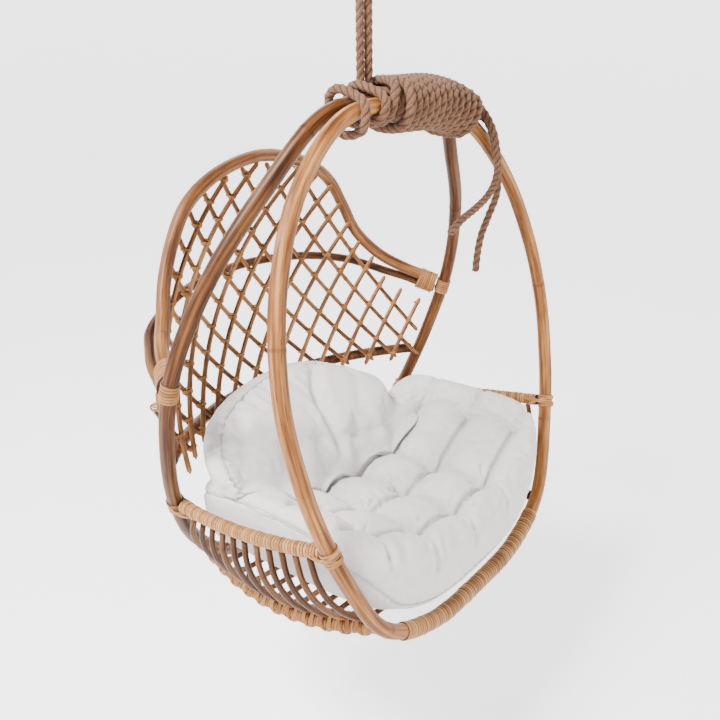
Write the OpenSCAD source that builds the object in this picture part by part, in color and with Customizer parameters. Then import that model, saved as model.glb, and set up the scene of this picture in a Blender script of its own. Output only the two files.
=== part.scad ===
// Hanging egg chair: rattan hoops, lattice back, rope winding, ceiling swivel and two cushions.
// Millimetres. The ceiling face is z = 0 and the rope hangs down the Z axis.
// The chair is drawn upright from the top of its front hoop, then hung() leans it on its rope.

/* [Hoops] */
// Diameter of the front and back hoop poles
hoop_d = 28; // [24:1:32]
// Forward lean of the front hoop, degrees
front_lean = 12.5; // [10:0.5:15]
// Backward lean of the back hoop, degrees
back_lean = 17; // [14:0.5:19]
// Gap between the two hoop poles at the top
hoop_gap = 0.6; // [0.3:0.1:1]

/* [Back] */
// Diameter of the headrest arch pole
arch_d = 26; // [22:1:28]
// Diameter of the rail across the upper back
upper_rail_d = 19; // [16:1:22]
// Diameter of the rail across the lower back
lower_rail_d = 24; // [20:1:28]
// Radius of the round surface that the lattice lies on
lattice_r = 652; // [640:2:664]
// Diameter of the lattice canes
cane_d = 10; // [8:0.5:12]
// Slope of the lattice canes, degrees
cane_slope = 50; // [45:1:54]
// Angle from one lattice cane to the next, degrees
cane_step = 5; // [4.5:0.25:6]

/* [Basket] */
// Diameter of the arm rail poles
arm_d = 20; // [18:1:24]
// Thickness of the peel wound round arms, runners and rim
peel_t = 2.5; // [1.5:0.25:3]
// Diameter of the runner poles
runner_d = 18; // [16:1:20]
// Diameter of the basket spindles
spindle_d = 11; // [9:0.5:12]
// Number of basket spindles
spindles_n = 11; // [9:1:13]
// Place of the first spindle from the front, share of the arm rail
spindle_first = 0.07; // [0.05:0.01:0.1]
// Place of the last spindle, share of the arm rail
spindle_last = 0.9; // [0.86:0.01:0.92]
// Half length of the wrapped stretch of the front rim
rim_wrap = 255; // [200:5:270]

/* [Lashings] */
// Width of one turn of peel in a lashing
peel_w = 7; // [6:0.25:7.5]
// Turns in an upper lashing
upper_turns = 5; // [4:1:6]
// Turns in a lower lashing
lower_turns = 4; // [3:1:5]

/* [Rope] */
// Diameter of the rope
rope_d = 16; // [13:0.5:16]
// Gap from one turn of the winding to the next
turn_gap = 3.4; // [3.2:0.1:3.8]
// Turns in the outer layer
outer_turns = 11.75; // [9.75:1:11.75]
// Turns in the inner layer
inner_turns = 9.65; // [8.65:1:9.65]
// Height of the ceiling above the top of the winding
drop = 340; // [340:5:420]

/* [Ceiling swivel] */
// Diameter of the ceiling plate
plate_d = 90; // [84:1:110]
// Thickness of the ceiling plate
plate_t = 6; // [4:0.5:8]
// Diameter of the four screw holes
hole_d = 6.5; // [5:0.5:8]
// Diameter of the circle that the screw holes lie on
hole_circle = 68; // [66:1:72]
// Outer diameter of the swivel housing
hub_d = 42; // [40:1:46]
// Height of the swivel housing under the plate
hub_h = 26; // [24:1:30]
// Diameter of the swivel shank
shank_d = 12; // [10:0.5:14]
// Diameter of the bar of the swivel eye
eye_bar = 10; // [8:0.5:11]
// Radius of the swivel eye to the middle of its bar
eye_r = 20; // [19:0.5:22]
// Diameter of the bar of the snap hook
hook_bar = 9; // [8:0.5:10]
// Radius of the ends of the snap hook to the middle of its bar
hook_r = 14; // [13.5:0.5:16]
// Straight length of the snap hook between its ends
hook_len = 46; // [44:1:60]
// Diameter of the gate pin
pin_d = 3; // [2.5:0.25:3.5]

/* [Cushions] */
// Half width of the seat cushion
seat_w = 360; // [330:5:362]
// Thickness of the seat cushion in the middle
seat_t = 162; // [130:2:166]
// Rise of the sides of the seat cushion
seat_rise = 120; // [90:5:130]
// Depth of the tufts in the seat cushion
tuft_depth = 18; // [8:1:24]
// Distance from one tuft to the next
tuft_step = 122; // [110:2:130]
// Thickness of the back cushion at the top
back_top_t = 100; // [80:5:110]
// Thickness of the back cushion at the bottom
back_low_t = 215; // [180:5:225]

/* [Hidden] */
fit = 0.3;
bearing_fit = 0.05;
washer_t = 3;
hang_roll = 3.37;
hang_pitch = 1.84;
tie = [-48, 46, 24];
hoop_sides = 10;
rope_sides = 8;
form_sides = 6;

// Half outlines of the hoops from top to bottom: sideways, and down the hoop's own plane
front_half = [[0, 0], [165, 15], [300, 110], [385, 245], [425, 405], [415, 565],
              [370, 720], [295, 860], [160, 922], [0, 932]];
back_half = [[0, 0], [170, 10], [285, 130], [375, 265], [425, 425], [415, 590],
             [370, 750], [290, 890], [165, 995], [0, 1030]];
// Half of the arch from its top to its foot
arch_half = [[0, 350, -110], [74, 348, -119], [150, 344, -143], [212, 342, -184], [253, 339, -242],
             [289, 327, -309], [330, 290, -365], [375, 242, -402]];
// Half of the upper back rail from its middle
rail_half = [[0, 414, -346], [110, 405, -350], [211, 381, -362], [282, 352, -379], [332, 327, -398],
             [365, 290, -416], [396, 246, -433]];
// Places along the hoops, counted in outline points from the top
upper_lashing_at = 4.25;
arch_above = 8;
rail_below = 15;
arm_on_front = 5.7;
arm_on_back = 5.98;
runner_on_front = 7.1;
runner_on_back = 7.0;
lower_rail_on_hoop = 5.3;
// How far sideways the lattice reaches under the arch
lattice_reach = 345;
// Middle of the round surface that the lattice lies on
lattice_mid = [0, 398 - lattice_r, -356];
// Canes on each side of the middle one, out to the back hoop's widest place
canes_aside = floor(asin(back_half[4][0] / lattice_r) / cane_step);

function unit(v) = v / norm(v);
function flip(p) = [-p[0], p[1], p[2]];
function pick(p, i, shut) = let (n = len(p)) shut ? p[(i + n) % n] : p[min(max(i, 0), n - 1)];
function headings(p, shut) = [for (i = [0:len(p) - 1]) unit(pick(p, i + 1, shut) - pick(p, i - 1, shut))];

// A smooth curve through points, with n steps from each to the next
function spline(a, b, c, d, t) =
    (2 * b + (c - a) * t + (2 * a - 5 * b + 4 * c - d) * t * t + (3 * b - a - 3 * c + d) * t * t * t) / 2;
function curve(p, n, shut = false) =
    concat([for (i = [0:len(p) - (shut ? 1 : 2)]) for (j = [0:n - 1])
                spline(pick(p, i - 1, shut), p[i], pick(p, i + 1, shut), pick(p, i + 2, shut), j / n)],
           shut ? [] : [p[len(p) - 1]]);
function both(h) = concat([for (i = [len(h) - 1:-1:1]) flip(h[i])], h);

// Outlines of the hoops in space
function lean_front(q) = [q[0], -q[1] * sin(front_lean), -q[1] * cos(front_lean)];
function lean_back(q) = [q[0], hoop_d + hoop_gap + q[1] * sin(back_lean), -q[1] * cos(back_lean)];
function ring_of(h) = concat(h, [for (i = [len(h) - 2:-1:1]) flip(h[i])]);
front_ring = ring_of([for (q = front_half) lean_front(q)]);
back_ring = ring_of([for (q = back_half) lean_back(q)]);
function on_ring(r, s) =
    let (n = len(r), i = floor(s) + n, t = s - floor(s))
    spline(r[(i - 1) % n], r[i % n], r[(i + 1) % n], r[(i + 2) % n], t);
function ring_heading(r, s) = unit(on_ring(r, s + 0.05) - on_ring(r, s - 0.05));

// Frames carried along a path, so that a tube doesn't twist
function carry(h, first) =
    [for (i = 0, n = unit(first - (first * h[0]) * h[0]);
          i < len(h);
          i = i + 1, n = i < len(h) ? unit(n - (n * h[i]) * h[i]) : n) n];
function ring_points(p, h, n, r, sides) =
    [for (k = [0:sides - 1]) p + r * (cos(k * 360 / sides) * n + sin(k * 360 / sides) * cross(h, n))];
function skin(from, a, b, sides) =
    [for (k = [0:sides - 1]) for (f = [0, 1])
        let (m = (k + 1) % sides)
        f == 0 ? [from + a * sides + k, from + a * sides + m, from + b * sides + m]
               : [from + a * sides + k, from + b * sides + m, from + b * sides + k]];

// A solid tube along a path
module tube(path, d, sides, shut = false, first = [0, 0, 1]) {
    n = len(path);
    h = headings(path, shut);
    f = carry(h, first);
    points = [for (i = [0:n - 1]) each ring_points(path[i], h[i], f[i], d / 2, sides)];
    last = (n - 1) * sides;
    faces = concat(
        [for (i = [0:n - (shut ? 1 : 2)]) each skin(0, i, (i + 1) % n, sides)],
        shut ? [] : [for (k = [1:sides - 2]) [0, k + 1, k]],
        shut ? [] : [for (k = [1:sides - 2]) [last, last + k, last + k + 1]]);
    polyhedron(points, [for (q = faces) [q[0], q[2], q[1]]]);
}

// A hollow sleeve along a path
module sleeve(path, d, bore, sides, first = [0, 0, 1]) {
    n = len(path);
    h = headings(path, false);
    f = carry(h, first);
    outer = [for (i = [0:n - 1]) each ring_points(path[i], h[i], f[i], d / 2, sides)];
    inner = [for (i = [0:n - 1]) each ring_points(path[i], h[i], f[i], bore / 2, sides)];
    m = n * sides;
    last = m - sides;
    faces = concat(
        [for (i = [0:n - 2]) each skin(0, i, i + 1, sides)],
        [for (i = [0:n - 2]) for (q = skin(m, i, i + 1, sides)) [q[0], q[2], q[1]]],
        [for (k = [0:sides - 1]) for (q = [0, 1])
            let (j = (k + 1) % sides)
            q == 0 ? [k, m + k, m + j] : [k, m + j, j]],
        [for (k = [0:sides - 1]) for (q = [0, 1])
            let (j = (k + 1) % sides)
            q == 0 ? [last + k, last + m + j, last + m + k] : [last + k, last + j, last + m + j]]);
    polyhedron(concat(outer, inner), [for (q = faces) [q[0], q[2], q[1]]]);
}

// One round bend that leaves p along t and ends at q, with its flat section as the child
function bend_r(p, t, q) = let (c = q - p) c * c / (2 * norm(cross(t, c)));
function bend_mid(p, t, q) = let (z = unit(cross(t, q - p))) p - bend_r(p, t, q) * cross(t, z);
function bend_turn(p, t, q) = let (c = q - p) 2 * atan2(norm(cross(t, c)), t * c);
function on_bend(p, t, q, f) =
    let (z = unit(cross(t, q - p)), x = cross(t, z), r = bend_r(p, t, q), a = f * bend_turn(p, t, q))
    bend_mid(p, t, q) + r * (cos(a) * x + sin(a) * t);
module bend(p, t, q) {
    z = unit(cross(t, q - p));
    x = cross(t, z);
    m = bend_mid(p, t, q);
    multmatrix([[x[0], t[0], z[0], m[0]], [x[1], t[1], z[1], m[1]], [x[2], t[2], z[2], m[2]]])
        rotate_extrude(angle = bend_turn(p, t, q), $fn = 180)
            translate([bend_r(p, t, q), 0])
                children();
}
// Puts a child that stands on Z at p, along h
module stand(p, h) {
    x = unit(cross(abs(h[0]) < 0.9 ? [1, 0, 0] : [0, 1, 0], h));
    y = cross(h, x);
    multmatrix([[x[0], y[0], h[0], p[0]], [x[1], y[1], h[1], p[1]], [x[2], y[2], h[2], p[2]]])
        children();
}
module both_sides(side) {
    if (side > 0)
        children();
    else
        mirror([1, 0, 0])
            children();
}

// The chair on its rope
module hung() {
    translate([0, 0, -drop])
        rotate([-hang_pitch, 0, 0])
            rotate([0, hang_roll, 0])
                translate(-tie)
                    children();
}
function hung_at(p) =
    let (q = p - tie)
    let (a = [q[0] * cos(hang_roll) + q[2] * sin(hang_roll), q[1],
              q[2] * cos(hang_roll) - q[0] * sin(hang_roll)])
    [a[0], a[1] * cos(hang_pitch) + a[2] * sin(hang_pitch),
     a[2] * cos(hang_pitch) - a[1] * sin(hang_pitch) - drop];

// Ceiling swivel
hub_bottom = -plate_t - hub_h;
hub_floor = 8;
eye_z = hub_bottom - 3 - eye_r - eye_bar / 2;
ring_bar_z = eye_z - eye_r;
hook_top = ring_bar_z + eye_bar / 2 + hook_bar / 2 + fit;
hook_upper = hook_top - hook_r;
hook_lower = hook_upper - hook_len;
hook_foot = hook_lower - hook_r;
gate_low = hook_lower + 8;
gate_high = hook_upper - 6;
bight_r = hook_bar / 2 + rope_d / 2 + fit;

module ceiling_plate() {
    color("dimgray")
        difference() {
            union() {
                translate([0, 0, -plate_t])
                    cylinder(h = plate_t, d = plate_d, $fn = 96);
                translate([0, 0, hub_bottom])
                    cylinder(h = hub_h, d = hub_d, $fn = 64);
            }
            for (a = [45:90:315])
                rotate([0, 0, a])
                    translate([hole_circle / 2, 0, -plate_t - 1])
                        cylinder(h = plate_t + 2, d = hole_d, $fn = 32);
            translate([0, 0, hub_bottom + hub_floor])
                cylinder(h = hub_h - hub_floor, d = hub_d - 10, $fn = 64);
            translate([0, 0, hub_bottom - 1])
                cylinder(h = hub_floor + 2, d = shank_d + 2 * bearing_fit, $fn = 64);
        }
}
module thrust_washer() {
    color("silver")
        translate([0, 0, hub_bottom + hub_floor])
            difference() {
                cylinder(h = washer_t, d = hub_d - 12, $fn = 64);
                translate([0, 0, -1])
                    cylinder(h = washer_t + 2, d = shank_d + 4 * bearing_fit, $fn = 64);
            }
}
module swivel_eye() {
    color("silver")
        union() {
            translate([0, 0, hub_bottom + hub_floor + washer_t])
                cylinder(h = 6, d = hub_d - 14, $fn = 64);
            translate([0, 0, eye_z + eye_r])
                cylinder(h = hub_bottom + hub_floor + washer_t + 1 - eye_z - eye_r, d = shank_d, $fn = 64);
            translate([0, 0, eye_z])
                rotate([90, 0, 0])
                    rotate_extrude($fn = 96)
                        translate([eye_r, 0])
                            circle(d = eye_bar, $fn = 32);
        }
}
hook_path = concat(
    [[0, hook_r, gate_low - 4], [0, hook_r, hook_lower]],
    [for (a = [-22.5:-22.5:-157.5]) [0, hook_r * cos(a), hook_lower + hook_r * sin(a)]],
    [[0, -hook_r, hook_lower], [0, -hook_r, hook_upper]],
    [for (a = [157.5:-22.5:22.5]) [0, hook_r * cos(a), hook_upper + hook_r * sin(a)]],
    [[0, hook_r, hook_upper], [0, hook_r, gate_high + fit]]);
module snap_hook() {
    color("lightgray")
        union() {
            tube(hook_path, hook_bar, rope_sides, first = [1, 0, 0]);
            difference() {
                translate([0, hook_r, gate_low])
                    rotate([0, 90, 0])
                        cylinder(h = 3.6, d = hook_bar, center = true, $fn = 32);
                translate([0, hook_r, gate_low])
                    rotate([0, 90, 0])
                        cylinder(h = 5, d = pin_d + 2 * bearing_fit, center = true, $fn = 32);
            }
        }
}
module hook_gate() {
    color("gray")
        difference() {
            union() {
                for (s = [-1, 1])
                    translate([s * 3.25, hook_r, gate_low])
                        rotate([0, 90, 0])
                            cylinder(h = 2.3, d = hook_bar - 1, center = true, $fn = 32);
                difference() {
                    translate([0, hook_r, gate_low])
                        cylinder(h = gate_high - gate_low, d = hook_bar - 0.5, $fn = 32);
                    translate([0, hook_r, gate_low])
                        cube([4.2, hook_bar + 4, hook_bar + 2], center = true);
                }
            }
            translate([0, hook_r, gate_low])
                rotate([0, 90, 0])
                    cylinder(h = 20, d = pin_d + 2 * bearing_fit, center = true, $fn = 32);
        }
}
module gate_pin() {
    color("silver")
        translate([0, hook_r, gate_low])
            rotate([0, 90, 0])
                cylinder(h = 9, d = pin_d, center = true, $fn = 32);
}

// Rope
pair = unit([0.94, -0.34, 0]) * (rope_d / 2 + fit);
foot_z = 32;
foot = hung_at([tie[0], tie[1], foot_z]);
function strand(side) =
    [for (f = [0.2:0.2:1])
        let (g = f * f * (3 - 2 * f))
        [side * bight_r * (1 - g) + side * pair[0] * g, side * pair[1] * g, hook_foot - 40 * f]];
hanger_path = concat(
    [foot - pair, [0, 0, (hook_foot - 40 + foot[2]) / 2] - pair],
    [for (i = [4:-1:0]) strand(-1)[i]],
    [for (a = [180:-30:0]) [bight_r * cos(a), 0, hook_foot + bight_r * sin(a)]],
    strand(1),
    [[0, 0, (hook_foot - 40 + foot[2]) / 2] + pair, foot + pair]);
module hanger_rope() {
    color("peru")
        tube(hanger_path, rope_d, rope_sides, first = [0, 1, 0]);
}

// A point of a turn round both hoop poles: x along them, angle a from behind and over the top, radius r
function top_s(ring, x) =
    let (a = x / 160)
    let (b = a - (on_ring(ring, a)[0] - x) / 150)
    b - (on_ring(ring, b)[0] - x) / 150;
function turn_at(x, a, r) =
    let (s = top_s(front_ring, x), f = on_ring(front_ring, s), b = on_ring(back_ring, top_s(back_ring, x)))
    let (h = ring_heading(front_ring, s), e = unit(b - f), k = unit(cross(h, e)))
    let (side = max(-1, min(1, cos(a) / 0.35)))
    (b + f) / 2 + side * (b - f) / 2 + r * (cos(a) * e + sin(a) * k);
inner_r = hoop_d / 2 + rope_d / 2 + 5 * fit;
outer_r = inner_r + rope_d + 0.8;
turn_skew = 12;
outer_x = -16;
inner_x = -38;
outer_rings = 20;
inner_rings = 16;
pitch = rope_d + turn_gap;
outer_path = [for (i = [0:round(outer_turns * outer_rings)])
    let (a = -360 * i / outer_rings)
    turn_at(outer_x - turn_skew + pitch * i / outer_rings + turn_skew * cos(a), a, outer_r)];
inner_path = [for (i = [0:round(inner_turns * inner_rings)])
    let (a = -360 * i / inner_rings)
    turn_at(inner_x + pitch * i / inner_rings, a, inner_r)];
// The least gap of a tube to itself, between points more than half a turn apart
function least_gap(p, n, d) =
    min([for (i = [0:len(p) - 1]) for (j = [i + n : 1 : min(len(p) - 1, i + 2 * n)]) norm(p[i] - p[j])]) - d;
echo(outer_winding_least_gap = least_gap(outer_path, round(outer_rings * 0.6), rope_d));
echo(inner_winding_least_gap = least_gap(inner_path, round(inner_rings * 0.6), rope_d));

// The hitch: x, angle and radius of each point, from the foot of one strand to the outer winding
hitch_turns_at = [[-56, 30, 25], [-64, 8, 22.6], [-84, -4, 22.4], [-104, -6, 22.4], [-124, -10, 22.6],
                  [-141, -26, 24], [-149, -58, 30], [-150, -95, 37], [-144, -135, 31], [-139, -180, 23.5],
                  [-133, -225, 22.6], [-127, -265, 22.6], [-124, -310, 30], [-119, -360, 40],
                  [-107, -405, 40], [-94, -450, 30], [-85, -495, 23], [-81, -540, 22.4],
                  [-78, -585, 22.4], [-75, -625, 24], [-72, -670, 36], [-70, -720, 40],
                  [-67, -765, 40], [-63, -815, 29], [-61, -860, 22.8], [-60, -900, 22.4],
                  [-57, -935, 27], [-48, -962, 36], [-33, -988, 40], [-23, -1012, 40.4],
                  [-19, -1040, 40.4], [-17, -1062, 40.4]];
hitch_path = concat(
    [[tie[0] - 7.8, tie[1] + 2.8, foot_z]],
    [for (q = hitch_turns_at) turn_at(q[0], q[1], q[2] + 2 * fit)],
    [turn_at(outer_x, 0, outer_r)]);
module hitch_turns() {
    color("sienna")
        hung()
            tube(curve(hitch_path, 2), rope_d, rope_sides, first = [1, 0, 0]);
}
module outer_winding() {
    color("peru")
        hung()
            tube(outer_path, rope_d, form_sides, first = [1, 0, 0]);
}
module inner_winding() {
    color("saddlebrown")
        hung()
            tube(concat([[tie[0] + 7.8, tie[1] - 2.8, foot_z],
                         [tie[0] + 9, tie[1] + 2, foot_z - 17]], inner_path), rope_d, form_sides,
                 first = [1, 0, 0]);
}
short_tail_path = [[222, 26, 1], [232, 35, 0], [243, 28, -2], [248, 12, -6], [249, -5, -11],
                   [248, -24, -22], [243, -50, -56], [250, -58, -98], [250, -62, -128], [232, -66, -158],
                   [200, -68, -180], [158, -66, -198], [115, -64, -212], [75, -62, -232]];
long_tail_path = [[154, -4, 11], [162, 8, 10], [174, 14, 4], [190, 15, -5], [212, 16, -17], [232, 13, -24],
                  [250, 0, -30], [262, -22, -38], [259, -40, -64], [264, -47, -98], [274, -50, -140],
                  [270, -52, -185], [247, -48, -228], [222, -48, -262], [210, -48, -300], [206, -48, -335]];
module long_tail() {
    color("peru")
        hung()
            tube(curve(concat([inner_path[len(inner_path) - 1]], long_tail_path), 2), rope_d, rope_sides,
                 first = [0, 1, 0]);
}
module short_tail() {
    color("chocolate")
        hung()
            tube(curve(concat([outer_path[len(outer_path) - 1]], short_tail_path), 2), rope_d, rope_sides,
                 first = [0, 1, 0]);
}

// Frame
module front_hoop() {
    color("burlywood")
        hung()
            tube(curve(front_ring, 3, true), hoop_d, hoop_sides, true, [0, cos(front_lean), -sin(front_lean)]);
}
module back_hoop() {
    color("peru")
        hung()
            tube(curve(back_ring, 3, true), hoop_d, hoop_sides, true, [0, cos(back_lean), sin(back_lean)]);
}
// Where a pole of diameter d that comes from a point ends at a hoop, with a layer of peel between
function butt(ring, s, from, d, peel) =
    let (p = on_ring(ring, s), u = unit(from - p), c = abs(u * ring_heading(ring, s)))
    p + u * (hoop_d / 2 + peel + (peel > 0 ? 5 : 1) * fit + d / 2 * c) / sqrt(1 - c * c);
arch_end = butt(back_ring, upper_lashing_at - arch_above / 165, arch_half[7], arch_d, peel_t);
rail_end = butt(back_ring, upper_lashing_at + rail_below / 165, rail_half[6], upper_rail_d, peel_t);
module headrest_arch() {
    color("tan")
        hung()
            tube(curve(both(concat(arch_half, [arch_end])), 2), arch_d, hoop_sides, first = [0, 1, 0]);
}
module upper_back_rail() {
    color("sienna")
        hung()
            tube(curve(both(concat(rail_half, [rail_end])), 2), upper_rail_d, rope_sides, first = [0, 0, 1]);
}
low_leg = on_ring(back_ring, lower_rail_on_hoop);
low_r = sqrt(pow(lattice_r + cane_d / 2 + lower_rail_d / 2 + fit, 2) - pow(low_leg[2] - lattice_mid[2], 2));
low_turn = atan2(low_leg[0], low_leg[1] - lattice_mid[1])
           - (hoop_d / 2 + lower_rail_d / 4 + 2) / low_r * 180 / PI;
module lower_back_rail() {
    color("sienna")
        hung()
            translate([0, lattice_mid[1], low_leg[2]])
                rotate([0, 0, 90 - low_turn])
                    rotate_extrude(angle = 2 * low_turn, $fn = 180)
                        translate([low_r, 0])
                            circle(d = lower_rail_d, $fn = 32);
}

// Lattice: canes along great circles of a ball, in two layers
function inset(p, d) =
    [for (i = [0:len(p) - 1])
        let (t = unit(p[min(i + 1, len(p) - 1)] - p[max(i - 1, 0)]))
        p[i] + d * [t[1], -t[0]]];
arch_flat = inset([for (q = arch_half) if (q[0] < lattice_reach) [q[0], q[2]]], arch_d / 2 + 1);
lattice_side = [for (s = [4.5:0.2:5.2])
    [on_ring(back_ring, s)[0] - hoop_d / 2 - 1, on_ring(back_ring, s)[2]]];
lattice_foot = low_leg[2] - lower_rail_d / 2;
lattice_edge = concat(
    [[0, arch_half[0][2] - arch_d / 2 - 1]],
    [for (q = arch_flat) if (q[0] > 1) q],
    [[lattice_reach, -400], [lattice_reach, -436]],
    lattice_side,
    [[lattice_side[3][0] - 6, lattice_foot]]);
module lattice_window() {
    rotate([90, 0, 0])
        translate([0, 0, -lattice_r - 50])
            linear_extrude(1.5 * lattice_r)
                polygon(concat(lattice_edge,
                               [for (i = [len(lattice_edge) - 1:-1:1]) [-lattice_edge[i][0], lattice_edge[i][1]]]));
}
module canes(slope, r) {
    intersection() {
        translate(lattice_mid)
            rotate([0, slope, 0])
                for (i = [-canes_aside:canes_aside])
                    rotate([i * cane_step, 0, 0])
                        rotate([0, 0, 35])
                            rotate_extrude(angle = 110, $fn = 180)
                                translate([r, 0])
                                    circle(d = cane_d, $fn = 24);
        lattice_window();
    }
}
module lattice_back_canes() {
    color("goldenrod")
        hung()
            canes(cane_slope, lattice_r);
}
module lattice_front_canes() {
    color("wheat")
        hung()
            canes(-cane_slope, lattice_r - cane_d - 0.1);
}

// Arms and runners: each is one round bend between the hoops
function bow_heading(p, q, w) =
    let (c = q - p, u = unit(c), v = w - (w * u) * u, a = 2 * atan(2 * norm(v) / norm(c)))
    cos(a) * u + sin(a) * unit(v);
arm_bow = [14, 0, -4];
runner_bow = [28, 0, -38];
arm_p = butt(back_ring, arm_on_back, on_ring(front_ring, arm_on_front), arm_d + 2 * peel_t, peel_t);
arm_q = butt(front_ring, arm_on_front, on_ring(back_ring, arm_on_back), arm_d + 2 * peel_t, peel_t);
arm_t = bow_heading(arm_p, arm_q, arm_bow);
runner_out = runner_d + 2 * peel_t;
runner_p = butt(back_ring, runner_on_back, on_ring(front_ring, runner_on_front), runner_out + 6, 0);
runner_q = butt(front_ring, runner_on_front, on_ring(back_ring, runner_on_back), runner_out + 6, 0);
runner_t = bow_heading(runner_p, runner_q, runner_bow);
module ring2(outer, inner) {
    difference() {
        circle(d = outer, $fn = 32);
        circle(d = inner, $fn = 32);
    }
}
module arm_rail(side) {
    color("tan")
        hung()
            both_sides(side)
                bend(arm_p, arm_t, arm_q)
                    circle(d = arm_d, $fn = 32);
}
module arm_wrap(side) {
    color("wheat")
        hung()
            both_sides(side)
                bend(arm_p, arm_t, arm_q)
                    ring2(arm_d + 2 * peel_t, arm_d + 0.1);
}
module runner(side) {
    color("sienna")
        hung()
            both_sides(side)
                bend(runner_p, runner_t, runner_q)
                    circle(d = runner_d, $fn = 32);
}
module runner_wrap(side) {
    color("tan")
        hung()
            both_sides(side)
                bend(runner_p, runner_t, runner_q)
                    ring2(runner_out, runner_d + 0.1);
}
module left_arm_rail() { arm_rail(1); }
module right_arm_rail() { arm_rail(-1); }
module left_arm_wrap() { arm_wrap(1); }
module right_arm_wrap() { arm_wrap(-1); }
module left_runner() { runner(1); }
module right_runner() { runner(-1); }
module left_runner_wrap() { runner_wrap(1); }
module right_runner_wrap() { runner_wrap(-1); }

// The stretch of the front hoop that is wrapped with peel
rim_path = [for (q = curve(front_ring, 3, true)) if (q[2] < 0.77 * front_ring[9][2] && abs(q[0]) < rim_wrap) q];
module front_rim_wrap() {
    color("wheat")
        hung()
            sleeve(rim_path, hoop_d + 2 * peel_t, hoop_d + fit, hoop_sides, [0, cos(front_lean), -sin(front_lean)]);
}

// Spindles: from one arm rail down, across on the runners and up to the other
function spindle_half(f) =
    let (a = on_bend(arm_p, arm_t, arm_q, f), b = on_bend(runner_p, runner_t, runner_q, f), d = a - b)
    let (lift = (runner_out + spindle_d) / 2 + 2 * fit)
    [a - [0, 0, arm_d / 2 + peel_t + max(3.2, 10.6 - 11 * f) * fit],
     b + [d[0] * 0.96, d[1] * 0.7, d[2] * 0.7],
     b + [d[0] * 0.74, d[1] * 0.45, d[2] * 0.45],
     b + [d[0] * 0.34, d[1] * 0.2, d[2] * 0.21],
     b + [-0.5 * lift, 0, 0.9 * lift],
     b + [-80, 0, 0.45 * lift],
     [110, b[1], b[2] + 0.3 * lift],
     [0, b[1], b[2] + 0.25 * lift]];
function spindle_share(i) = 1 - spindle_last + (spindle_last - spindle_first) * i / (spindles_n - 1);
module basket_spindles() {
    color("chocolate")
        hung()
            for (i = [0:spindles_n - 1]) {
                h = spindle_half(spindle_share(i));
                tube(curve(concat(h, [for (k = [len(h) - 2:-1:0]) flip(h[k])]), 2), spindle_d, form_sides,
                     first = [0, 1, 0]);
            }
}

// Lashings: turns of peel round a hoop
module lashing(ring, s, turns, side) {
    p = on_ring(ring, s);
    h = ring_heading(ring, s);
    bore = hoop_d / 2 + 4 * fit;
    hung()
        both_sides(side)
            stand(p - h * turns * peel_w / 2, h)
                rotate_extrude($fn = 48)
                    difference() {
                        translate([bore, 0])
                            square([peel_t, turns * peel_w]);
                        for (i = [1:turns - 1])
                            translate([bore + peel_t, i * peel_w])
                                rotate(45)
                                    square(0.9, center = true);
                    }
}
module left_upper_lashing() { color("khaki") lashing(back_ring, upper_lashing_at, upper_turns, 1); }
module right_upper_lashing() { color("khaki") lashing(back_ring, upper_lashing_at, upper_turns, -1); }
module left_front_arm_lashing() { color("khaki") lashing(front_ring, arm_on_front, lower_turns, 1); }
module right_front_arm_lashing() { color("khaki") lashing(front_ring, arm_on_front, lower_turns, -1); }
module left_back_arm_lashing() { color("khaki") lashing(back_ring, arm_on_back, lower_turns, 1); }
module right_back_arm_lashing() { color("khaki") lashing(back_ring, arm_on_back, lower_turns, -1); }

// Cushions, each from rings of points between its two faces
seat_mid = [0, 12, -809];
seat_front = 223;
seat_corner = 6;
seat_shear = 0.25;
seat_back = 214;
seat_rings = 10;
seat_sectors = 40;
function squircle(a, w, l, n) = pow(pow(abs(cos(a)) / w, n) + pow(abs(sin(a)) / l, n), -1 / n);
// In front of the last spindle the seat sags towards the rim
seat_sag = 47;
function seat_floor(x, y) =
    let (past = on_bend(runner_p, runner_t, runner_q, 1 - spindle_first)[1] - 1.5 * spindle_d - y)
    let (sag = seat_sag * max(0, min(1, past / 12)) * (1 - min(1, pow(abs(x) / 250, 3))))
    let (f = max(0, min(1, (runner_p[1] - y) / (runner_p[1] - runner_q[1]))))
    let (b = on_bend(runner_p, runner_t, runner_q, f), rise = 0.3 + 0.7 * min(1, pow(x / b[0], 4)))
    b[2] + rise * (runner_out + spindle_d) / 2 + spindle_d / 2 + 3 * fit - sag;
function seat_puff(q, n) = sqrt(max(0, 1 - pow(q, n)));
function seat_level(x) = seat_mid[2] + seat_rise * pow(abs(x) / seat_w, 2.6);
tufts = [for (j = [-1:1]) for (i = [-2:2])
    let (x = tuft_step * i - 20, y = tuft_step * (j < 0 ? -0.95 : 1.05 * j) - 40)
    let (up = seat_level(x) - seat_mid[2])
    if (abs(x) < seat_w * 0.8) [x < -200 ? x + 15 : x > 200 ? x + 60 : x, y + 0.8 * up]];
function tufted(x, y) =
    tuft_depth * min(1.1, sum_of([for (t = tufts) exp(-((x - t[0]) * (x - t[0]) + (y - t[1]) * (y - t[1])) / 900)]));
function sum_of(v) = v * [for (x = v) 1];
function seat_lean(x) = seat_mid[1] + seat_shear * (seat_level(x) - seat_mid[2]);
function seat_q(x, y) =
    let (a = atan2(y - seat_lean(x), x))
    norm([x, y - seat_lean(x)]) / squircle(a, seat_w, sin(a) > 0 ? seat_back : seat_front, seat_corner);
function seat_top(x, y) =
    let (q = min(1, seat_q(x, y)))
    seat_level(x) + seat_t / 2 * seat_puff(q, 14) - tufted(x, y) * (1 - pow(q, 4));
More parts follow.
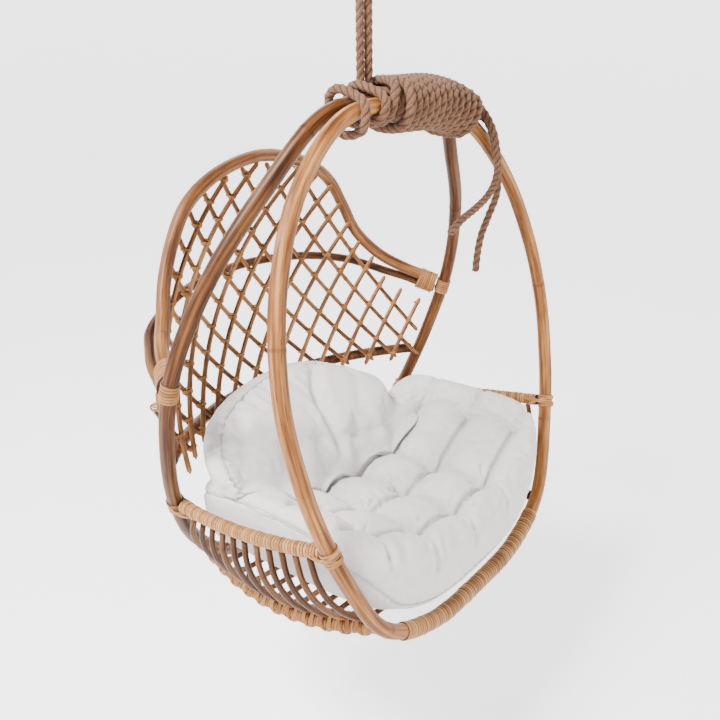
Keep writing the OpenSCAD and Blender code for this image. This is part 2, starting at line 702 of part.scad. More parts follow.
function seat_point(q, a, up) =
    let (r = q * squircle(a, seat_w, sin(a) > 0 ? seat_back : seat_front, seat_corner))
    let (x = r * cos(a), y = seat_lean(x) + r * sin(a))
    [x, y, up ? seat_level(x) + seat_t / 2 * seat_puff(q, 14) - tufted(x, y) * (1 - pow(q, 4))
              : max(seat_level(x) - seat_t / 2 * seat_puff(q, 30), seat_floor(x, y))];
// A closed pad: its middle above, rings out to the rim, rings back in and its middle below
module pad(upper, lower, rings, sectors) {
    points = concat(upper, [for (i = [1:len(lower) - 1]) lower[i]], [lower[0]]);
    all = 2 * rings - 1;
    end = 1 + all * sectors;
    faces = concat(
        [for (k = [0:sectors - 1]) [0, 1 + (k + 1) % sectors, 1 + k]],
        [for (i = [0:all - 2]) each skin(1, i, i + 1, sectors)],
        [for (k = [0:sectors - 1])
            [end, 1 + (all - 1) * sectors + k, 1 + (all - 1) * sectors + (k + 1) % sectors]]);
    polyhedron(points, faces);
}
module seat_cushion() {
    color("white")
        hung()
            pad(concat([seat_point(0, 0, true)],
                       [for (i = [1:seat_rings]) for (k = [0:seat_sectors - 1])
                            seat_point(sqrt(i / seat_rings), k * 360 / seat_sectors, true)]),
                concat([seat_point(0, 0, false)],
                       [for (i = [seat_rings - 1:-1:1]) for (k = [0:seat_sectors - 1])
                            seat_point(sqrt(i / seat_rings), k * 360 / seat_sectors, false)]),
                seat_rings, seat_sectors);
}
back_r = lattice_r - 1.5 * cane_d - 0.1 - 2 * fit;
back_turn = 40;
back_skew = 6;
back_high = -18.8;
back_low = -36;
back_slump = 12;
back_rings = 8;
back_sectors = 36;
function back_point(q, a, front) =
    let (u = q * squircle(a, 1, 1, 3) * cos(a), v = q * squircle(a, 1, 1, 3) * sin(a))
    let (top = back_high - back_slump * pow(max(0, u), 1.5))
    let (tilt = (top + back_low) / 2 + v * (top - back_low) / 2, turn = u * (back_turn - back_skew * u))
    let (puff = sqrt(max(0, 1 - pow(q, 5))), thick = back_top_t + (back_low_t - back_top_t) * (1 - v) / 2)
    let (depth = front ? thick / 2 * (1 + puff) : thick / 2 * (1 - puff))
    let (z = lattice_mid[2] + back_r * sin(tilt), r = sqrt(back_r * back_r - pow(back_r * sin(tilt), 2)) - depth)
    let (x = r * sin(turn), y = lattice_mid[1] + r * cos(turn))
    [x, y, max(z, seat_q(x, y) < 1.15 ? seat_top(x, y) + 9 : z)];
module back_cushion() {
    color("ivory")
        hung()
            pad(concat([back_point(0, 0, true)],
                       [for (i = [1:back_rings]) for (k = [0:back_sectors - 1])
                            back_point(sqrt(i / back_rings), k * 360 / back_sectors, true)]),
                concat([back_point(0, 0, false)],
                       [for (i = [back_rings - 1:-1:1]) for (k = [0:back_sectors - 1])
                            back_point(sqrt(i / back_rings), k * 360 / back_sectors, false)]),
                back_rings, back_sectors);
}

ceiling_plate();
thrust_washer();
swivel_eye();
snap_hook();
hook_gate();
gate_pin();
hanger_rope();
hitch_turns();
inner_winding();
outer_winding();
short_tail();
long_tail();
front_hoop();
back_hoop();
headrest_arch();
upper_back_rail();
lower_back_rail();
lattice_front_canes();
lattice_back_canes();
left_arm_rail();
right_arm_rail();
left_arm_wrap();
right_arm_wrap();
left_runner();
right_runner();
left_runner_wrap();
right_runner_wrap();
front_rim_wrap();
basket_spindles();
left_upper_lashing();
right_upper_lashing();
left_front_arm_lashing();
right_front_arm_lashing();
left_back_arm_lashing();
right_back_arm_lashing();
seat_cushion();
back_cushion();
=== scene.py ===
import math
import bpy
import numpy as np
from mathutils import Matrix, Vector
from mathutils.bvhtree import BVHTree


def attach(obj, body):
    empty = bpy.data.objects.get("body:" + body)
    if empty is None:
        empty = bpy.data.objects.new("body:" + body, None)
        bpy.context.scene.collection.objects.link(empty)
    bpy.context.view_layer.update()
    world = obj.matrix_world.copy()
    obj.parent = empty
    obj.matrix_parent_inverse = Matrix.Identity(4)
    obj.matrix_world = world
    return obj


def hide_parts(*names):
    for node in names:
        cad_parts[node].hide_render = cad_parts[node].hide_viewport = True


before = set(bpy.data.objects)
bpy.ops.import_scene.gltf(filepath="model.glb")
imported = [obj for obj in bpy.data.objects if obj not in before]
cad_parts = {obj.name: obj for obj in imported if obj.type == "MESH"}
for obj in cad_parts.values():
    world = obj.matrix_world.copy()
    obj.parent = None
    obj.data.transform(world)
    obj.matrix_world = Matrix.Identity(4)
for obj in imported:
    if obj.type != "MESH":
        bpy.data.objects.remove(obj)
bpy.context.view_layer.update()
print("frame loaded")

# The chair is drawn upright in millimetres from the top of its front hoop, then leans on its rope
hang = dict(tie=(-48.0, 46.0, 24.0), drop=340.0, roll=3.37, pitch=1.84)
fit = 0.3   # the least clearance between pieces
flip = np.array([-1.0, 1, 1])


def toWorld(points):
    # lean to the right, lean back, then down by the drop; millimetres to metres
    q = np.asarray(points, float) - np.array(hang["tie"])
    r, p = math.radians(hang["roll"]), math.radians(hang["pitch"])
    x = q[..., 0] * math.cos(r) + q[..., 2] * math.sin(r)
    z = q[..., 2] * math.cos(r) - q[..., 0] * math.sin(r)
    y = q[..., 1] * math.cos(p) + z * math.sin(p)
    z = z * math.cos(p) - q[..., 1] * math.sin(p) - hang["drop"]
    return np.stack([x, y, z], -1) / 1000


def unit(v):
    # each vector divided by its length
    return v / np.linalg.norm(v, axis=-1, keepdims=True)


# Camera first, at the front right corner and a little above
view = dict(place=(-1203.8, -831.5, 68.7), turn=52.483, down=20.510, lens=39.79)


def makeCamera():
    # right, up and back of the camera as columns of a turn
    a, e = math.radians(view["turn"]), math.radians(view["down"])
    place = toWorld(view["place"])
    right = np.array([math.cos(a), -math.sin(a), 0])
    ahead = np.array([math.sin(a) * math.cos(e), math.cos(a) * math.cos(e), -math.sin(e)])
    axes = [toWorld(np.array(view["place"]) + 1000 * v) - place
            for v in (right, np.cross(right, ahead), -ahead)]
    data = bpy.data.cameras.new("camera")
    data.lens, data.sensor_width = view["lens"], 36
    camera = bpy.data.objects.new("camera", data)
    bpy.context.collection.objects.link(camera)
    rows = [[*[float(v[i]) for v in axes], float(place[i])] for i in range(3)]
    camera.matrix_world = Matrix(rows + [[0, 0, 0, 1]])
    bpy.context.scene.camera = camera


makeCamera()
print("camera placed")


# ---- paths
def spline(a, b, c, d, t):
    # Catmull-Rom: half of 2b + (c-a)t + (2a-5b+4c-d)t^2 + (3b-a-3c+d)t^3
    return (2 * b + (c - a) * t + (2 * a - 5 * b + 4 * c - d) * t ** 2 + (3 * b - a - 3 * c + d) * t ** 3) / 2


def smoothCurve(points, steps, closed=False):
    p = np.asarray(points, float)
    if closed:
        four = [np.roll(p, -k, 0) for k in (-1, 0, 1, 2)]
    else:
        q = np.concatenate([p[:1], p, p[-1:]])
        four = [q[:-3], q[1:-2], q[2:-1], q[3:]]
    t = (np.arange(steps) / steps)[None, :, None]
    s = spline(*(v[:, None, :] for v in four), t).reshape(-1, 3)
    return s if closed else np.concatenate([s, p[-1:]])


def distances(path):
    # how far along the path each point is: the running sum of the steps
    return np.concatenate([[0], np.cumsum(np.linalg.norm(np.diff(path, axis=0), axis=1))])


def evenly(path, step, closed=False):
    # the same line in equal steps
    path = np.asarray(path, float)
    if closed:
        path = np.concatenate([path, path[:1]])
    s = distances(path)
    at = np.linspace(0, s[-1], max(4, int(round(s[-1] / step))) + 1)
    out = np.stack([np.interp(at, s, path[:, k]) for k in range(3)], 1)
    return out[:-1] if closed else out


def eased(path, times):
    # corners softened by averages of three neighbours
    for _ in range(times):
        path[1:-1] = (path[:-2] + 2 * path[1:-1] + path[2:]) / 4
    return path


def partWay(line, share):
    # the point at a share of a line's points, and the heading there
    at = share * (len(line) - 1)
    i = min(int(at), len(line) - 2)
    return line[i] + (at - i) * (line[i + 1] - line[i]), unit(line[i + 1] - line[i])


def carriedAcross(path, closed, first):
    # headings, and a direction across that is carried along without twisting
    if closed:
        h = unit(np.roll(path, -1, 0) - np.roll(path, 1, 0))
    else:
        h = unit(np.gradient(path, axis=0))
    across = np.zeros_like(path)
    n = np.asarray(first, float)
    for i in range(len(path)):
        n = unit(n - (n @ h[i]) * h[i])
        across[i] = n
    return h, across


# ---- meshes
def gridPiece(name, points, closed=False, capped=True, fields=None):
    # a grid of rings: quads between rings, a fan over each end; fields are corner attributes on the grid
    n, m = points.shape[:2]
    i, j = np.meshgrid(np.arange(n if closed else n - 1), np.arange(m), indexing="ij")
    i, j = i.ravel(), j.ravel()
    k, l = (i + 1) % n, (j + 1) % m
    quads = np.stack([i * m + j, i * m + l, k * m + l, k * m + j], 1)
    corners = np.stack([np.stack([i, i, i + 1, i + 1], 1), np.stack([j, j + 1, j + 1, j], 1)], 2)
    verts = points.reshape(-1, 3)
    caps = np.zeros((0, 3), int)
    if not closed and capped:
        verts = np.concatenate([verts, points[0].mean(0)[None], points[-1].mean(0)[None]])
        a = np.arange(m)
        b = (a + 1) % m
        last = (n - 1) * m
        caps = np.concatenate([np.stack([np.full(m, n * m), b, a], 1),
                               np.stack([np.full(m, n * m + 1), last + a, last + b], 1)])
    mesh = bpy.data.meshes.new(name)
    mesh.vertices.add(len(verts))
    mesh.vertices.foreach_set("co", verts.astype(np.float32).ravel())
    loops = np.concatenate([quads.ravel(), caps.ravel()])
    mesh.loops.add(len(loops))
    mesh.loops.foreach_set("vertex_index", loops.astype(np.int32))
    counts = np.concatenate([np.full(len(quads), 4), np.full(len(caps), 3)])
    starts = np.concatenate([[0], np.cumsum(counts)[:-1]])
    mesh.polygons.add(len(counts))
    mesh.polygons.foreach_set("loop_start", starts.astype(np.int32))
    mesh.polygons.foreach_set("loop_total", counts.astype(np.int32))
    mesh.polygons.foreach_set("use_smooth", counts == 4)
    mesh.update(calc_edges=True)
    mesh.validate()
    for key, value in (fields or {}).items():
        # a field has one more ring and one more side than the grid, so a pattern closes where the piece does
        data = value[corners[..., 0], corners[..., 1]].reshape(len(quads) * 4, -1)
        width = data.shape[1]
        if len(caps):
            ends = [np.broadcast_to(value[end, 0].ravel(), (m * 3, width)) for end in (0, -1)]
            data = np.concatenate([data, *ends])
        layer = mesh.attributes.new(key, "FLOAT_VECTOR" if width == 3 else "FLOAT", "CORNER")
        layer.data.foreach_set("vector" if width == 3 else "value", data.astype(np.float32).ravel())
    piece = bpy.data.objects.new(name, mesh)
    bpy.context.collection.objects.link(piece)
    return piece


def swept(name, path, radius, sides=16, closed=False, first=(0, 0, 1), world=False,
          roundEnd=0.0, fields=None):
    # a ring round each point of the path: centre + radius * (cos t * across + sin t * (heading x across));
    # radius is a number or a function of (angle, distance); a world path is in place already
    h, across = carriedAcross(path, closed, first)
    other = np.cross(h, across)
    s = distances(np.concatenate([path, path[:1]]) if closed else path)
    n = len(path)
    angle = np.arange(sides + 1) * 2 * math.pi / sides
    at = s if closed else np.append(s, s[-1])
    size = radius(angle[None, :], at[:, None]) if callable(radius) else float(radius)
    size = np.broadcast_to(size, (n + 1, sides + 1)).copy()
    if roundEnd and not closed:
        gone = np.clip(np.minimum(s, s[-1] - s) / roundEnd, 0, 1)
        size[:n] *= np.sqrt(np.clip(1 - (1 - gone) ** 2, 0.02, 1))[:, None]
    a = angle[None, :sides, None]
    out = np.cos(a) * across[:, None, :] + np.sin(a) * other[:, None, :]
    ring = path[:, None, :] + size[:n, :sides, None] * out
    lay = np.broadcast_arrays(size * np.cos(angle)[None, :], size * np.sin(angle)[None, :], at[:, None])
    grids = {"lay": np.stack(lay, -1) / 1000}
    for key, make in (fields or {}).items():
        grids[key] = np.broadcast_to(make(angle[None, :], at[:, None]), (n + 1, sides + 1))[..., None]
    return gridPiece(name, ring / 1000 if world else toWorld(ring), closed, True, grids)


def joined(name, parts):
    # several pieces of one kind made one object
    bpy.ops.object.select_all(action="DESELECT")
    for part in parts:
        part.select_set(True)
    bpy.context.view_layer.objects.active = parts[0]
    bpy.ops.object.join()
    parts[0].name = name
    parts[0].data.name = name
    return parts[0]


def dress(piece, material):
    piece.data.materials.clear()
    piece.data.materials.append(material)
    return piece


def belongs(piece, body, node=None):
    # the solid that it stands for is hidden, and the piece rides its body
    if node:
        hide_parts(node)
    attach(piece, body)
    return piece


# ---- materials
tones = dict(honey=((0.15, 0.048, 0.0105), (0.285, 0.112, 0.027), (0.41, 0.187, 0.054)),
             brown=((0.038, 0.011, 0.0027), (0.098, 0.0335, 0.0075), (0.155, 0.061, 0.0155)),
             tawny=((0.09, 0.03, 0.008), (0.192, 0.076, 0.0235), (0.285, 0.132, 0.045)),
             cane=((0.12, 0.04, 0.0095), (0.25, 0.1, 0.027), (0.37, 0.17, 0.054)),
             peel=((0.2, 0.076, 0.0175), (0.345, 0.149, 0.041), (0.48, 0.24, 0.077)),
             # the dark peel edge colour is painted shade for the gaps between wound turns
             peelGapShade=(0.035, 0.012, 0.004), rope=((0.05, 0.019, 0.0085), (0.135, 0.061, 0.031), (0.25, 0.135, 0.077)),
             # the groove colour is painted shade for the grooves between rope strands
             grooveShade=(0.018, 0.008, 0.004), cotton=(0.6, 0.57, 0.557), seam=(0.47, 0.44, 0.43),
             iron=(0.03, 0.03, 0.03), zinc=(0.55, 0.55, 0.54))
white = (1, 1, 1)


def addNode(tree, kind, inputs=None, **settings):
    node = tree.nodes.new(kind)
    for key, value in settings.items():
        setattr(node, key, value)
    for key, value in (inputs or {}).items():
        if isinstance(value, bpy.types.NodeSocket):
            tree.links.new(value, node.inputs[key])
        else:
            node.inputs[key].default_value = value
    return node


def newMaterial(name, **sockets):
    material = bpy.data.materials.new(name)
    material.use_nodes = True
    shader = material.node_tree.nodes["Principled BSDF"]
    for key, value in sockets.items():
        shader.inputs[key.replace("_", " ")].default_value = value
    return material, material.node_tree, shader


def attribute(tree, name, kind="Fac"):
    return addNode(tree, "ShaderNodeAttribute", attribute_name=name).outputs[kind]


def objectPlace(tree):
    return addNode(tree, "ShaderNodeTexCoord").outputs["Object"]


def stretched(tree, place, scale):
    return addNode(tree, "ShaderNodeMapping", {"Vector": place, "Scale": scale}).outputs[0]


def noise(tree, place, detail, scale=1.0, rough=0.5):
    return addNode(tree, "ShaderNodeTexNoise", {"Vector": place, "Scale": scale, "Detail": detail,
                                                "Roughness": rough}).outputs["Fac"]


def combined(tree, kind, a, b):
    return addNode(tree, "ShaderNodeMath", {0: a, 1: b}, operation=kind).outputs[0]


def ramp(tree, factor, *stops):
    node = addNode(tree, "ShaderNodeValToRGB", {"Fac": factor})
    places = node.color_ramp.elements
    while len(places) > 1:
        places.remove(places[-1])
    places[0].position = stops[0][0]
    places[0].color = (*stops[0][1], 1)
    for place, colour in stops[1:]:
        places.new(place).color = (*colour, 1)
    return node.outputs["Color"]


def mixColour(tree, kind, factor, a, b):
    node = addNode(tree, "ShaderNodeMix", data_type="RGBA", blend_type=kind)
    for index, value in ((0, factor), (6, a), (7, b)):
        if isinstance(value, bpy.types.NodeSocket):
            tree.links.new(value, node.inputs[index])
        else:
            node.inputs[index].default_value = (*value, 1) if isinstance(value, tuple) else value
    return node.outputs[2]


def surface(tree, shader, colour, height, strength, distance):
    bump = addNode(tree, "ShaderNodeBump", {"Strength": strength, "Distance": distance, "Height": height})
    tree.links.new(colour, shader.inputs["Base Color"])
    tree.links.new(bump.outputs[0], shader.inputs["Normal"])


def dimmed(colour, share):
    return tuple(share * c for c in colour)


def poleFinish(name, tone, onPole=True, rough=0.42):
    # rattan with its skin on: fine streaks along the pole, soft blotches, short marks and darker growth rings
    dark, middle, light = tones[tone]
    material, tree, shader = newMaterial(name, Roughness=rough, Specular_IOR_Level=0.16, Coat_Weight=0.02,
                                         Coat_Roughness=0.3)
    place = attribute(tree, "lay", "Vector") if onPole else objectPlace(tree)
    long, wide = ((150, 150, 7), (16, 16, 9)) if onPole else ((90, 30, 90), (14, 14, 14))
    streak = noise(tree, stretched(tree, place, long), 5.0, rough=0.6)
    blotch = noise(tree, stretched(tree, place, wide), 3.0)
    band = noise(tree, stretched(tree, place, dimmed(long, 0.4)), 2.0)
    mark = noise(tree, stretched(tree, place, dimmed(long, 2.4)), 1.0)
    colour = ramp(tree, streak, (0.37, dark), (0.5, middle), (0.63, light))
    for share, factor, low, shade, high in ((0.7, blotch, 0.3, (0.6, 0.52, 0.46), 0.55),
                                            (0.8, band, 0.4, (0.42, 0.34, 0.28), 0.54),
                                            (0.8, mark, 0.27, (0.22, 0.16, 0.12), 0.33)):
        colour = mixColour(tree, "MULTIPLY", share, colour, ramp(tree, factor, (low, shade), (high, white)))
    if onPole:
        ring = combined(tree, "MULTIPLY", attribute(tree, "ring"), 0.7)
        colour = mixColour(tree, "MIX", ring, colour, dimmed(dark, 0.45))
    surface(tree, shader, colour, combined(tree, "ADD", streak, blotch), 0.25, 0.0008)
    return material


def peelFinish(name):
    # strips of peel: each turn has its own tone, with hair lines along the strip and painted shade at the edges where
    # turns meet
    material, tree, shader = newMaterial(name, Roughness=0.45, Specular_IOR_Level=0.25, Coat_Weight=0.03)
    hair = noise(tree, stretched(tree, attribute(tree, "lay", "Vector"), (60, 60, 900)), 3.0)
    tone = ramp(tree, attribute(tree, "shade"), *zip((0.0, 0.5, 1.0), tones["peel"]))
    colour = mixColour(tree, "MULTIPLY", 0.7, tone, ramp(tree, hair, (0.3, (0.75, 0.7, 0.65)), (0.6, white)))
    # painted shade: the edges of each turn are darkened toward near black, as the gaps between turns would be in shade
    colour = mixColour(tree, "MIX", attribute(tree, "edge"), colour, tones["peelGapShade"])
    surface(tree, shader, colour, hair, 0.2, 0.0004)
    return material


def ropeFinish(name):
    # jute yarns that run along the rope on each strand, with painted shade in the grooves between the strands
    material, tree, shader = newMaterial(name, Roughness=0.9, Specular_IOR_Level=0.2, Sheen_Weight=0.08)
    yarn = noise(tree, stretched(tree, attribute(tree, "lay", "Vector"), (900, 900, 160)), 4.0, rough=0.65)
    wide = noise(tree, objectPlace(tree), 2.0, 25.0)
    base = ramp(tree, yarn, *zip((0.25, 0.5, 0.75), tones["rope"]))
    colour = mixColour(tree, "MULTIPLY", 1.0, base, ramp(tree, wide, (0.3, (0.8, 0.78, 0.76)), (0.6, white)))
    # painted shade: the grooves between strands are darkened toward near black
    colour = mixColour(tree, "MIX", attribute(tree, "grooveShade"), colour, tones["grooveShade"])
    surface(tree, shader, colour, yarn, 0.55, 0.0009)
    return material


def cottonFinish(name, tone):
    # plain woven cotton: two crossed fine waves, and a slow unevenness of the cloth
    material, tree, shader = newMaterial(name, Roughness=0.92, Specular_IOR_Level=0.25, Sheen_Weight=0.08)
    place = objectPlace(tree)
    warp, weft = (addNode(tree, "ShaderNodeTexWave", {"Vector": place, "Scale": 260.0, "Distortion": 1.5,
                                                      "Detail": 2.0}, bands_direction=way).outputs["Fac"]
                  for way in "XZ")
    slub = noise(tree, place, 5.0, 70.0)
    colour = ramp(tree, slub, (0.3, dimmed(tones[tone], 0.93)), (0.7, tones[tone]))
    surface(tree, shader, colour, combined(tree, "ADD", combined(tree, "MULTIPLY", warp, weft), slub), 0.3, 0.0006)
    return material


def steelFinish(name, tone, rough, metallic=1.0):
    # drawn or painted steel with faint handling marks
    material, tree, shader = newMaterial(name, Metallic=metallic)
    marks = noise(tree, objectPlace(tree), 6.0, 160.0)
    level = addNode(tree, "ShaderNodeMapRange", {"Value": marks, "To Min": rough - 0.08, "To Max": rough + 0.12})
    colour = ramp(tree, marks, (0.3, dimmed(tones[tone], 0.8)), (0.65, tones[tone]))
    tree.links.new(level.outputs[0], shader.inputs["Roughness"])
    surface(tree, shader, colour, marks, 0.12, 0.0003)
    return material


honey = poleFinish("honeyRattan", "honey")
brown = poleFinish("brownRattan", "brown")
tawny = poleFinish("tawnyRattan", "tawny")
caneSkin = poleFinish("caneSkin", "cane", rough=0.45)
brownCad = poleFinish("brownRattanPlain", "brown", False)
tawnyCad = poleFinish("tawnyRattanPlain", "tawny", False)
peel = peelFinish("peelStrips")
jute = ropeFinish("juteRope")
cotton = cottonFinish("naturalCotton", "cotton")
seamThread = cottonFinish("seamCotton", "seam")
blackIron = steelFinish("blackPaintedSteel", "iron", 0.45, 0.0)
brightSteel = steelFinish("zincSteel", "zinc", 0.32)
print("materials made")


# ---- the two hoops as closed lines
hoops = dict(pole=28.0, frontLean=12.5, backLean=17.0, gap=0.6, sides=28,
             front=[(0, 0), (165, 15), (300, 110), (385, 245), (425, 405), (415, 565),
                    (370, 720), (295, 860), (160, 922), (0, 932)],
             back=[(0, 0), (170, 10), (285, 130), (375, 265), (425, 425), (415, 590),
                   (370, 750), (290, 890), (165, 995), (0, 1030)])


def ringOf(half, lean, ahead, start):
    # a half outline leaned about X, with its mirror image
    a, q = math.radians(lean), np.array(half, float)
    half = np.stack([q[:, 0], start + ahead * q[:, 1] * math.sin(a), -q[:, 1] * math.cos(a)], 1)
    return np.concatenate([half, half[-2:0:-1] * flip])


frontRing = ringOf(hoops["front"], hoops["frontLean"], -1, 0)
backRing = ringOf(hoops["back"], hoops["backLean"], 1, hoops["pole"] + hoops["gap"])


def bothSides(half):
    # the mirror image of a half, then the half
    half = np.asarray(half, float)
    return np.concatenate([half[:0:-1] * flip, half])


def onRing(ring, s):
    # the spline's point at a place counted in outline points
    s = np.asarray(s, float)
    i = np.floor(s).astype(int)
    return spline(*(ring[(i + k) % len(ring)] for k in (-1, 0, 1, 2)), (s - i)[..., None])


def ringHeading(ring, s):
    # from a little before the place to a little after it
    return unit(onRing(ring, np.asarray(s) + 0.05) - onRing(ring, np.asarray(s) - 0.05))


# ---- rope
rope = dict(thick=16.0, gap=3.4, outerTurns=11.75, innerTurns=9.65, skew=12.0, outerX=-16.0, innerX=-38.0,
            pitchOfLay=46.0, wound=18.6, hitchThick=16.6, tailThick=15.4, foot=32.0, leastReach=0.84, sides=27,
            beside=(7.8, -2.8, 0), enters=(9, 2, -17), pair=(0.94, -0.34, 0), taper=40.0,
            hitch=[(-56, 30, 25), (-64, 8, 22.6), (-84, -4, 22.4), (-104, -6, 22.4), (-124, -10, 22.6),
                   (-141, -26, 24), (-149, -58, 30), (-150, -95, 37), (-144, -135, 31), (-139, -180, 23.5),
                   (-133, -225, 22.6), (-127, -265, 22.6), (-124, -310, 30), (-119, -360, 40),
                   (-107, -405, 40), (-94, -450, 30), (-85, -495, 23), (-81, -540, 22.4),
                   (-78, -585, 22.4), (-75, -625, 24), (-72, -670, 36), (-70, -720, 40),
                   (-67, -765, 40), (-63, -815, 29), (-61, -860, 22.8), (-60, -900, 22.4),
                   (-57, -935, 27), (-48, -962, 36), (-33, -988, 40), (-23, -1012, 40.4),
                   (-19, -1040, 40.4), (-17, -1062, 40.4)],
            shortTail=[(222, 26, 1), (232, 35, 0), (243, 28, -2), (248, 12, -6), (249, -5, -11), (248, -24, -22),
                       (243, -50, -56), (250, -58, -98), (250, -62, -128), (232, -66, -158), (200, -68, -180),
                       (158, -66, -198), (115, -64, -212), (75, -62, -232)],
            longTail=[(154, -4, 11), (162, 8, 10), (174, 14, 4), (190, 15, -5), (212, 16, -17), (232, 13, -24),
                      (250, 0, -30), (262, -22, -38), (259, -40, -64), (264, -47, -98), (274, -50, -140),
                      (270, -52, -185), (247, -48, -228), (222, -48, -262), (210, -48, -300), (206, -48, -335)])
hook = dict(bar=9.0, r=14.0, foot=-144.2, lower=-130.2, upper=-84.2, gateLow=-122.2, gateHigh=-90.2)


def topPlace(ring, x):
    # where a hoop's outline crosses x near its top, by two steps from a straight guess
    s = x / 160
    for _ in range(2):
        s = s - (onRing(ring, s)[..., 0] - x) / 150
    return s


def turnAt(x, degrees, r):
    # a turn round both hoop poles at their top: sideways x, angle from behind and over the top, radius r
    x, a, r = np.asarray(x, float), np.radians(np.asarray(degrees, float)), np.asarray(r, float)[..., None]
    s = topPlace(frontRing, x)
    f, b = onRing(frontRing, s), onRing(backRing, topPlace(backRing, x))
    h, e = ringHeading(frontRing, s), unit(b - f)
    k = unit(np.cross(h, e))
    side = np.clip(np.cos(a) / 0.35, -1, 1)[..., None]
    return (b + f) / 2 + side * (b - f) / 2 + r * (np.cos(a)[..., None] * e + np.sin(a)[..., None] * k)


def strandRadius(diameter, lay):
    # three laid strands: the outer edge of three circles that turn with the distance along the rope
    big, small = diameter / 2, diameter / 4
    third = math.pi / 3

    def fromStrand(angle, at):
        return (angle - 2 * math.pi * at / lay) % (2 * third) - third

    def radius(angle, at):
        u = fromStrand(angle, at)
        reach = small * np.cos(u) + np.sqrt(np.clip(small ** 2 - (small * np.sin(u)) ** 2, 0, None))
        return 1.02 * np.maximum(reach, rope["leastReach"] * big)

    # painted shade: near black in the grooves between strands, where shadow falls
    def grooveShade(angle, at):
        return np.clip((np.abs(fromStrand(angle, at)) / third - 0.58) / 0.36, 0, 1) ** 1.3 * 0.93

    return radius, grooveShade


def ropePiece(name, path, diameter, step=2.2, sides=rope["sides"], first=(1, 0.2, 0.1), world=False, roundEnd=0.0):
    # a laid rope along a path, and its line in the world
    line = evenly(path, step)
    radius, grooveShade = strandRadius(diameter, rope["pitchOfLay"])
    piece = swept(name, line, radius, sides, False, first, world, roundEnd, {"grooveShade": grooveShade})
    return dress(piece, jute), line / 1000 if world else toWorld(line)


def declareRope(piece, line, node, farEnd="bare", lay="hanging"):
    # the rope rides the chair in place of its solid; where it leaves, its length and how it lies are not used
    belongs(piece, "chair", node)


def windingPaths():
    # helices round both poles, the outer one with its turns leaned by the skew, and the hitch between them
    pitch = rope["thick"] + rope["gap"]
    innerR = hoops["pole"] / 2 + rope["thick"] / 2 + 5 * fit
    outerR = innerR + rope["thick"] + 0.8
    i = np.arange(0, round(rope["outerTurns"] * 60) + 1) / 60
    outer = turnAt(rope["outerX"] - rope["skew"] + pitch * i + rope["skew"] * np.cos(-2 * math.pi * i), -360 * i,
                   np.full_like(i, outerR))
    j = np.arange(0, round(rope["innerTurns"] * 48) + 1) / 48
    inner = turnAt(rope["innerX"] + pitch * j, -360 * j, np.full_like(j, innerR))
    foot = np.array([*hang["tie"][:2], rope["foot"]])
    beside = np.array(rope["beside"])
    h = np.array(rope["hitch"], float)
    hitch = np.concatenate([[foot - beside], turnAt(h[:, 0], h[:, 1], h[:, 2] + 2 * fit), outer[:1]])
    inner = np.concatenate([[foot + beside, foot + rope["enters"]], inner])
    return outer, inner, smoothCurve(hitch, 16)


outerPath, innerPath, hitchPath = windingPaths()


def makeTails():
    for name, node, before in (("shortTail", "short_tail", outerPath[-1]), ("longTail", "long_tail", innerPath[-1])):
        line = smoothCurve(np.vstack([before, rope[name]]), 10)
        declareRope(*ropePiece(name, line, rope["tailThick"], roundEnd=3.0), node)


def makeHanger():
    # two strands up from the hitch, side by side, and round the foot of the hook
    foot = toWorld(np.array([*hang["tie"][:2], rope["foot"]])) * 1000
    pair = unit(np.array(rope["pair"])) * (rope["thick"] / 2 + fit)
    bight = hook["bar"] / 2 + rope["thick"] / 2 + fit
    f = np.arange(1, 6) / 5
    g = f * f * (3 - 2 * f)

    def strand(side):
        # from the bight's width in to the pair's, by the smooth step g
        across = bight * (1 - g) + pair[0] * g
        return np.stack([side * across, side * pair[1] * g, hook["foot"] - rope["taper"] * f], 1)

    over = np.radians(np.arange(180, -1, -30))
    arc = np.stack([bight * np.cos(over), 0 * over, hook["foot"] + bight * np.sin(over)], 1)
    half = np.array([0, 0, (hook["foot"] - rope["taper"] + foot[2]) / 2])
    points = np.vstack([foot - pair, half - pair, strand(-1)[::-1], arc, strand(1), half + pair, foot + pair])
    piece, line = ropePiece("hangerRope", smoothCurve(points, 10), rope["tailThick"], first=(0, 1, 0), world=True)
    declareRope(piece, line, "hanger_rope", "object", "taut")


def makeWindings():
    for name, node, line, thick, step, sides in (
            ("outerWinding", "outer_winding", outerPath, rope["wound"], 2.4, rope["sides"]),
            ("innerWinding", "inner_winding", innerPath, rope["thick"], 5.0, 15),
            ("hitchTurns", "hitch_turns", hitchPath, rope["hitchThick"], 2.2, rope["sides"])):
        belongs(ropePiece(name, line, thick, step, sides)[0], "chair", node)


makeTails()
makeHanger()
makeWindings()
print("cords and windings made")


# ---- rattan poles
backPoles = dict(archPole=26.0, railPole=19.0, lowPole=24.0, archPlace=4.202, railPlace=4.341,
                 arch=[(0, 350, -110), (74, 348, -119), (150, 344, -143), (212, 342, -184),
                       (253, 339, -242), (289, 327, -309), (330, 290, -365), (375, 242, -402)],
                 rail=[(0, 414, -346), (110, 405, -350), (211, 381, -362), (282, 352, -379),
                       (332, 327, -398), (365, 290, -416), (396, 246, -433)])
arms = dict(pole=20.0, peel=2.5, front=5.7, back=5.98, bow=(14, 0, -4))
growth = dict(spacing=300.0, swell=0.05, wide=5.0, line=1.1)


def ringMark(at, places, width):
    # a narrow hump at each growth ring: the sum of exp(-(distance / width)^2)
    return np.exp(-((at[..., None] - places) / width) ** 2).sum(-1)


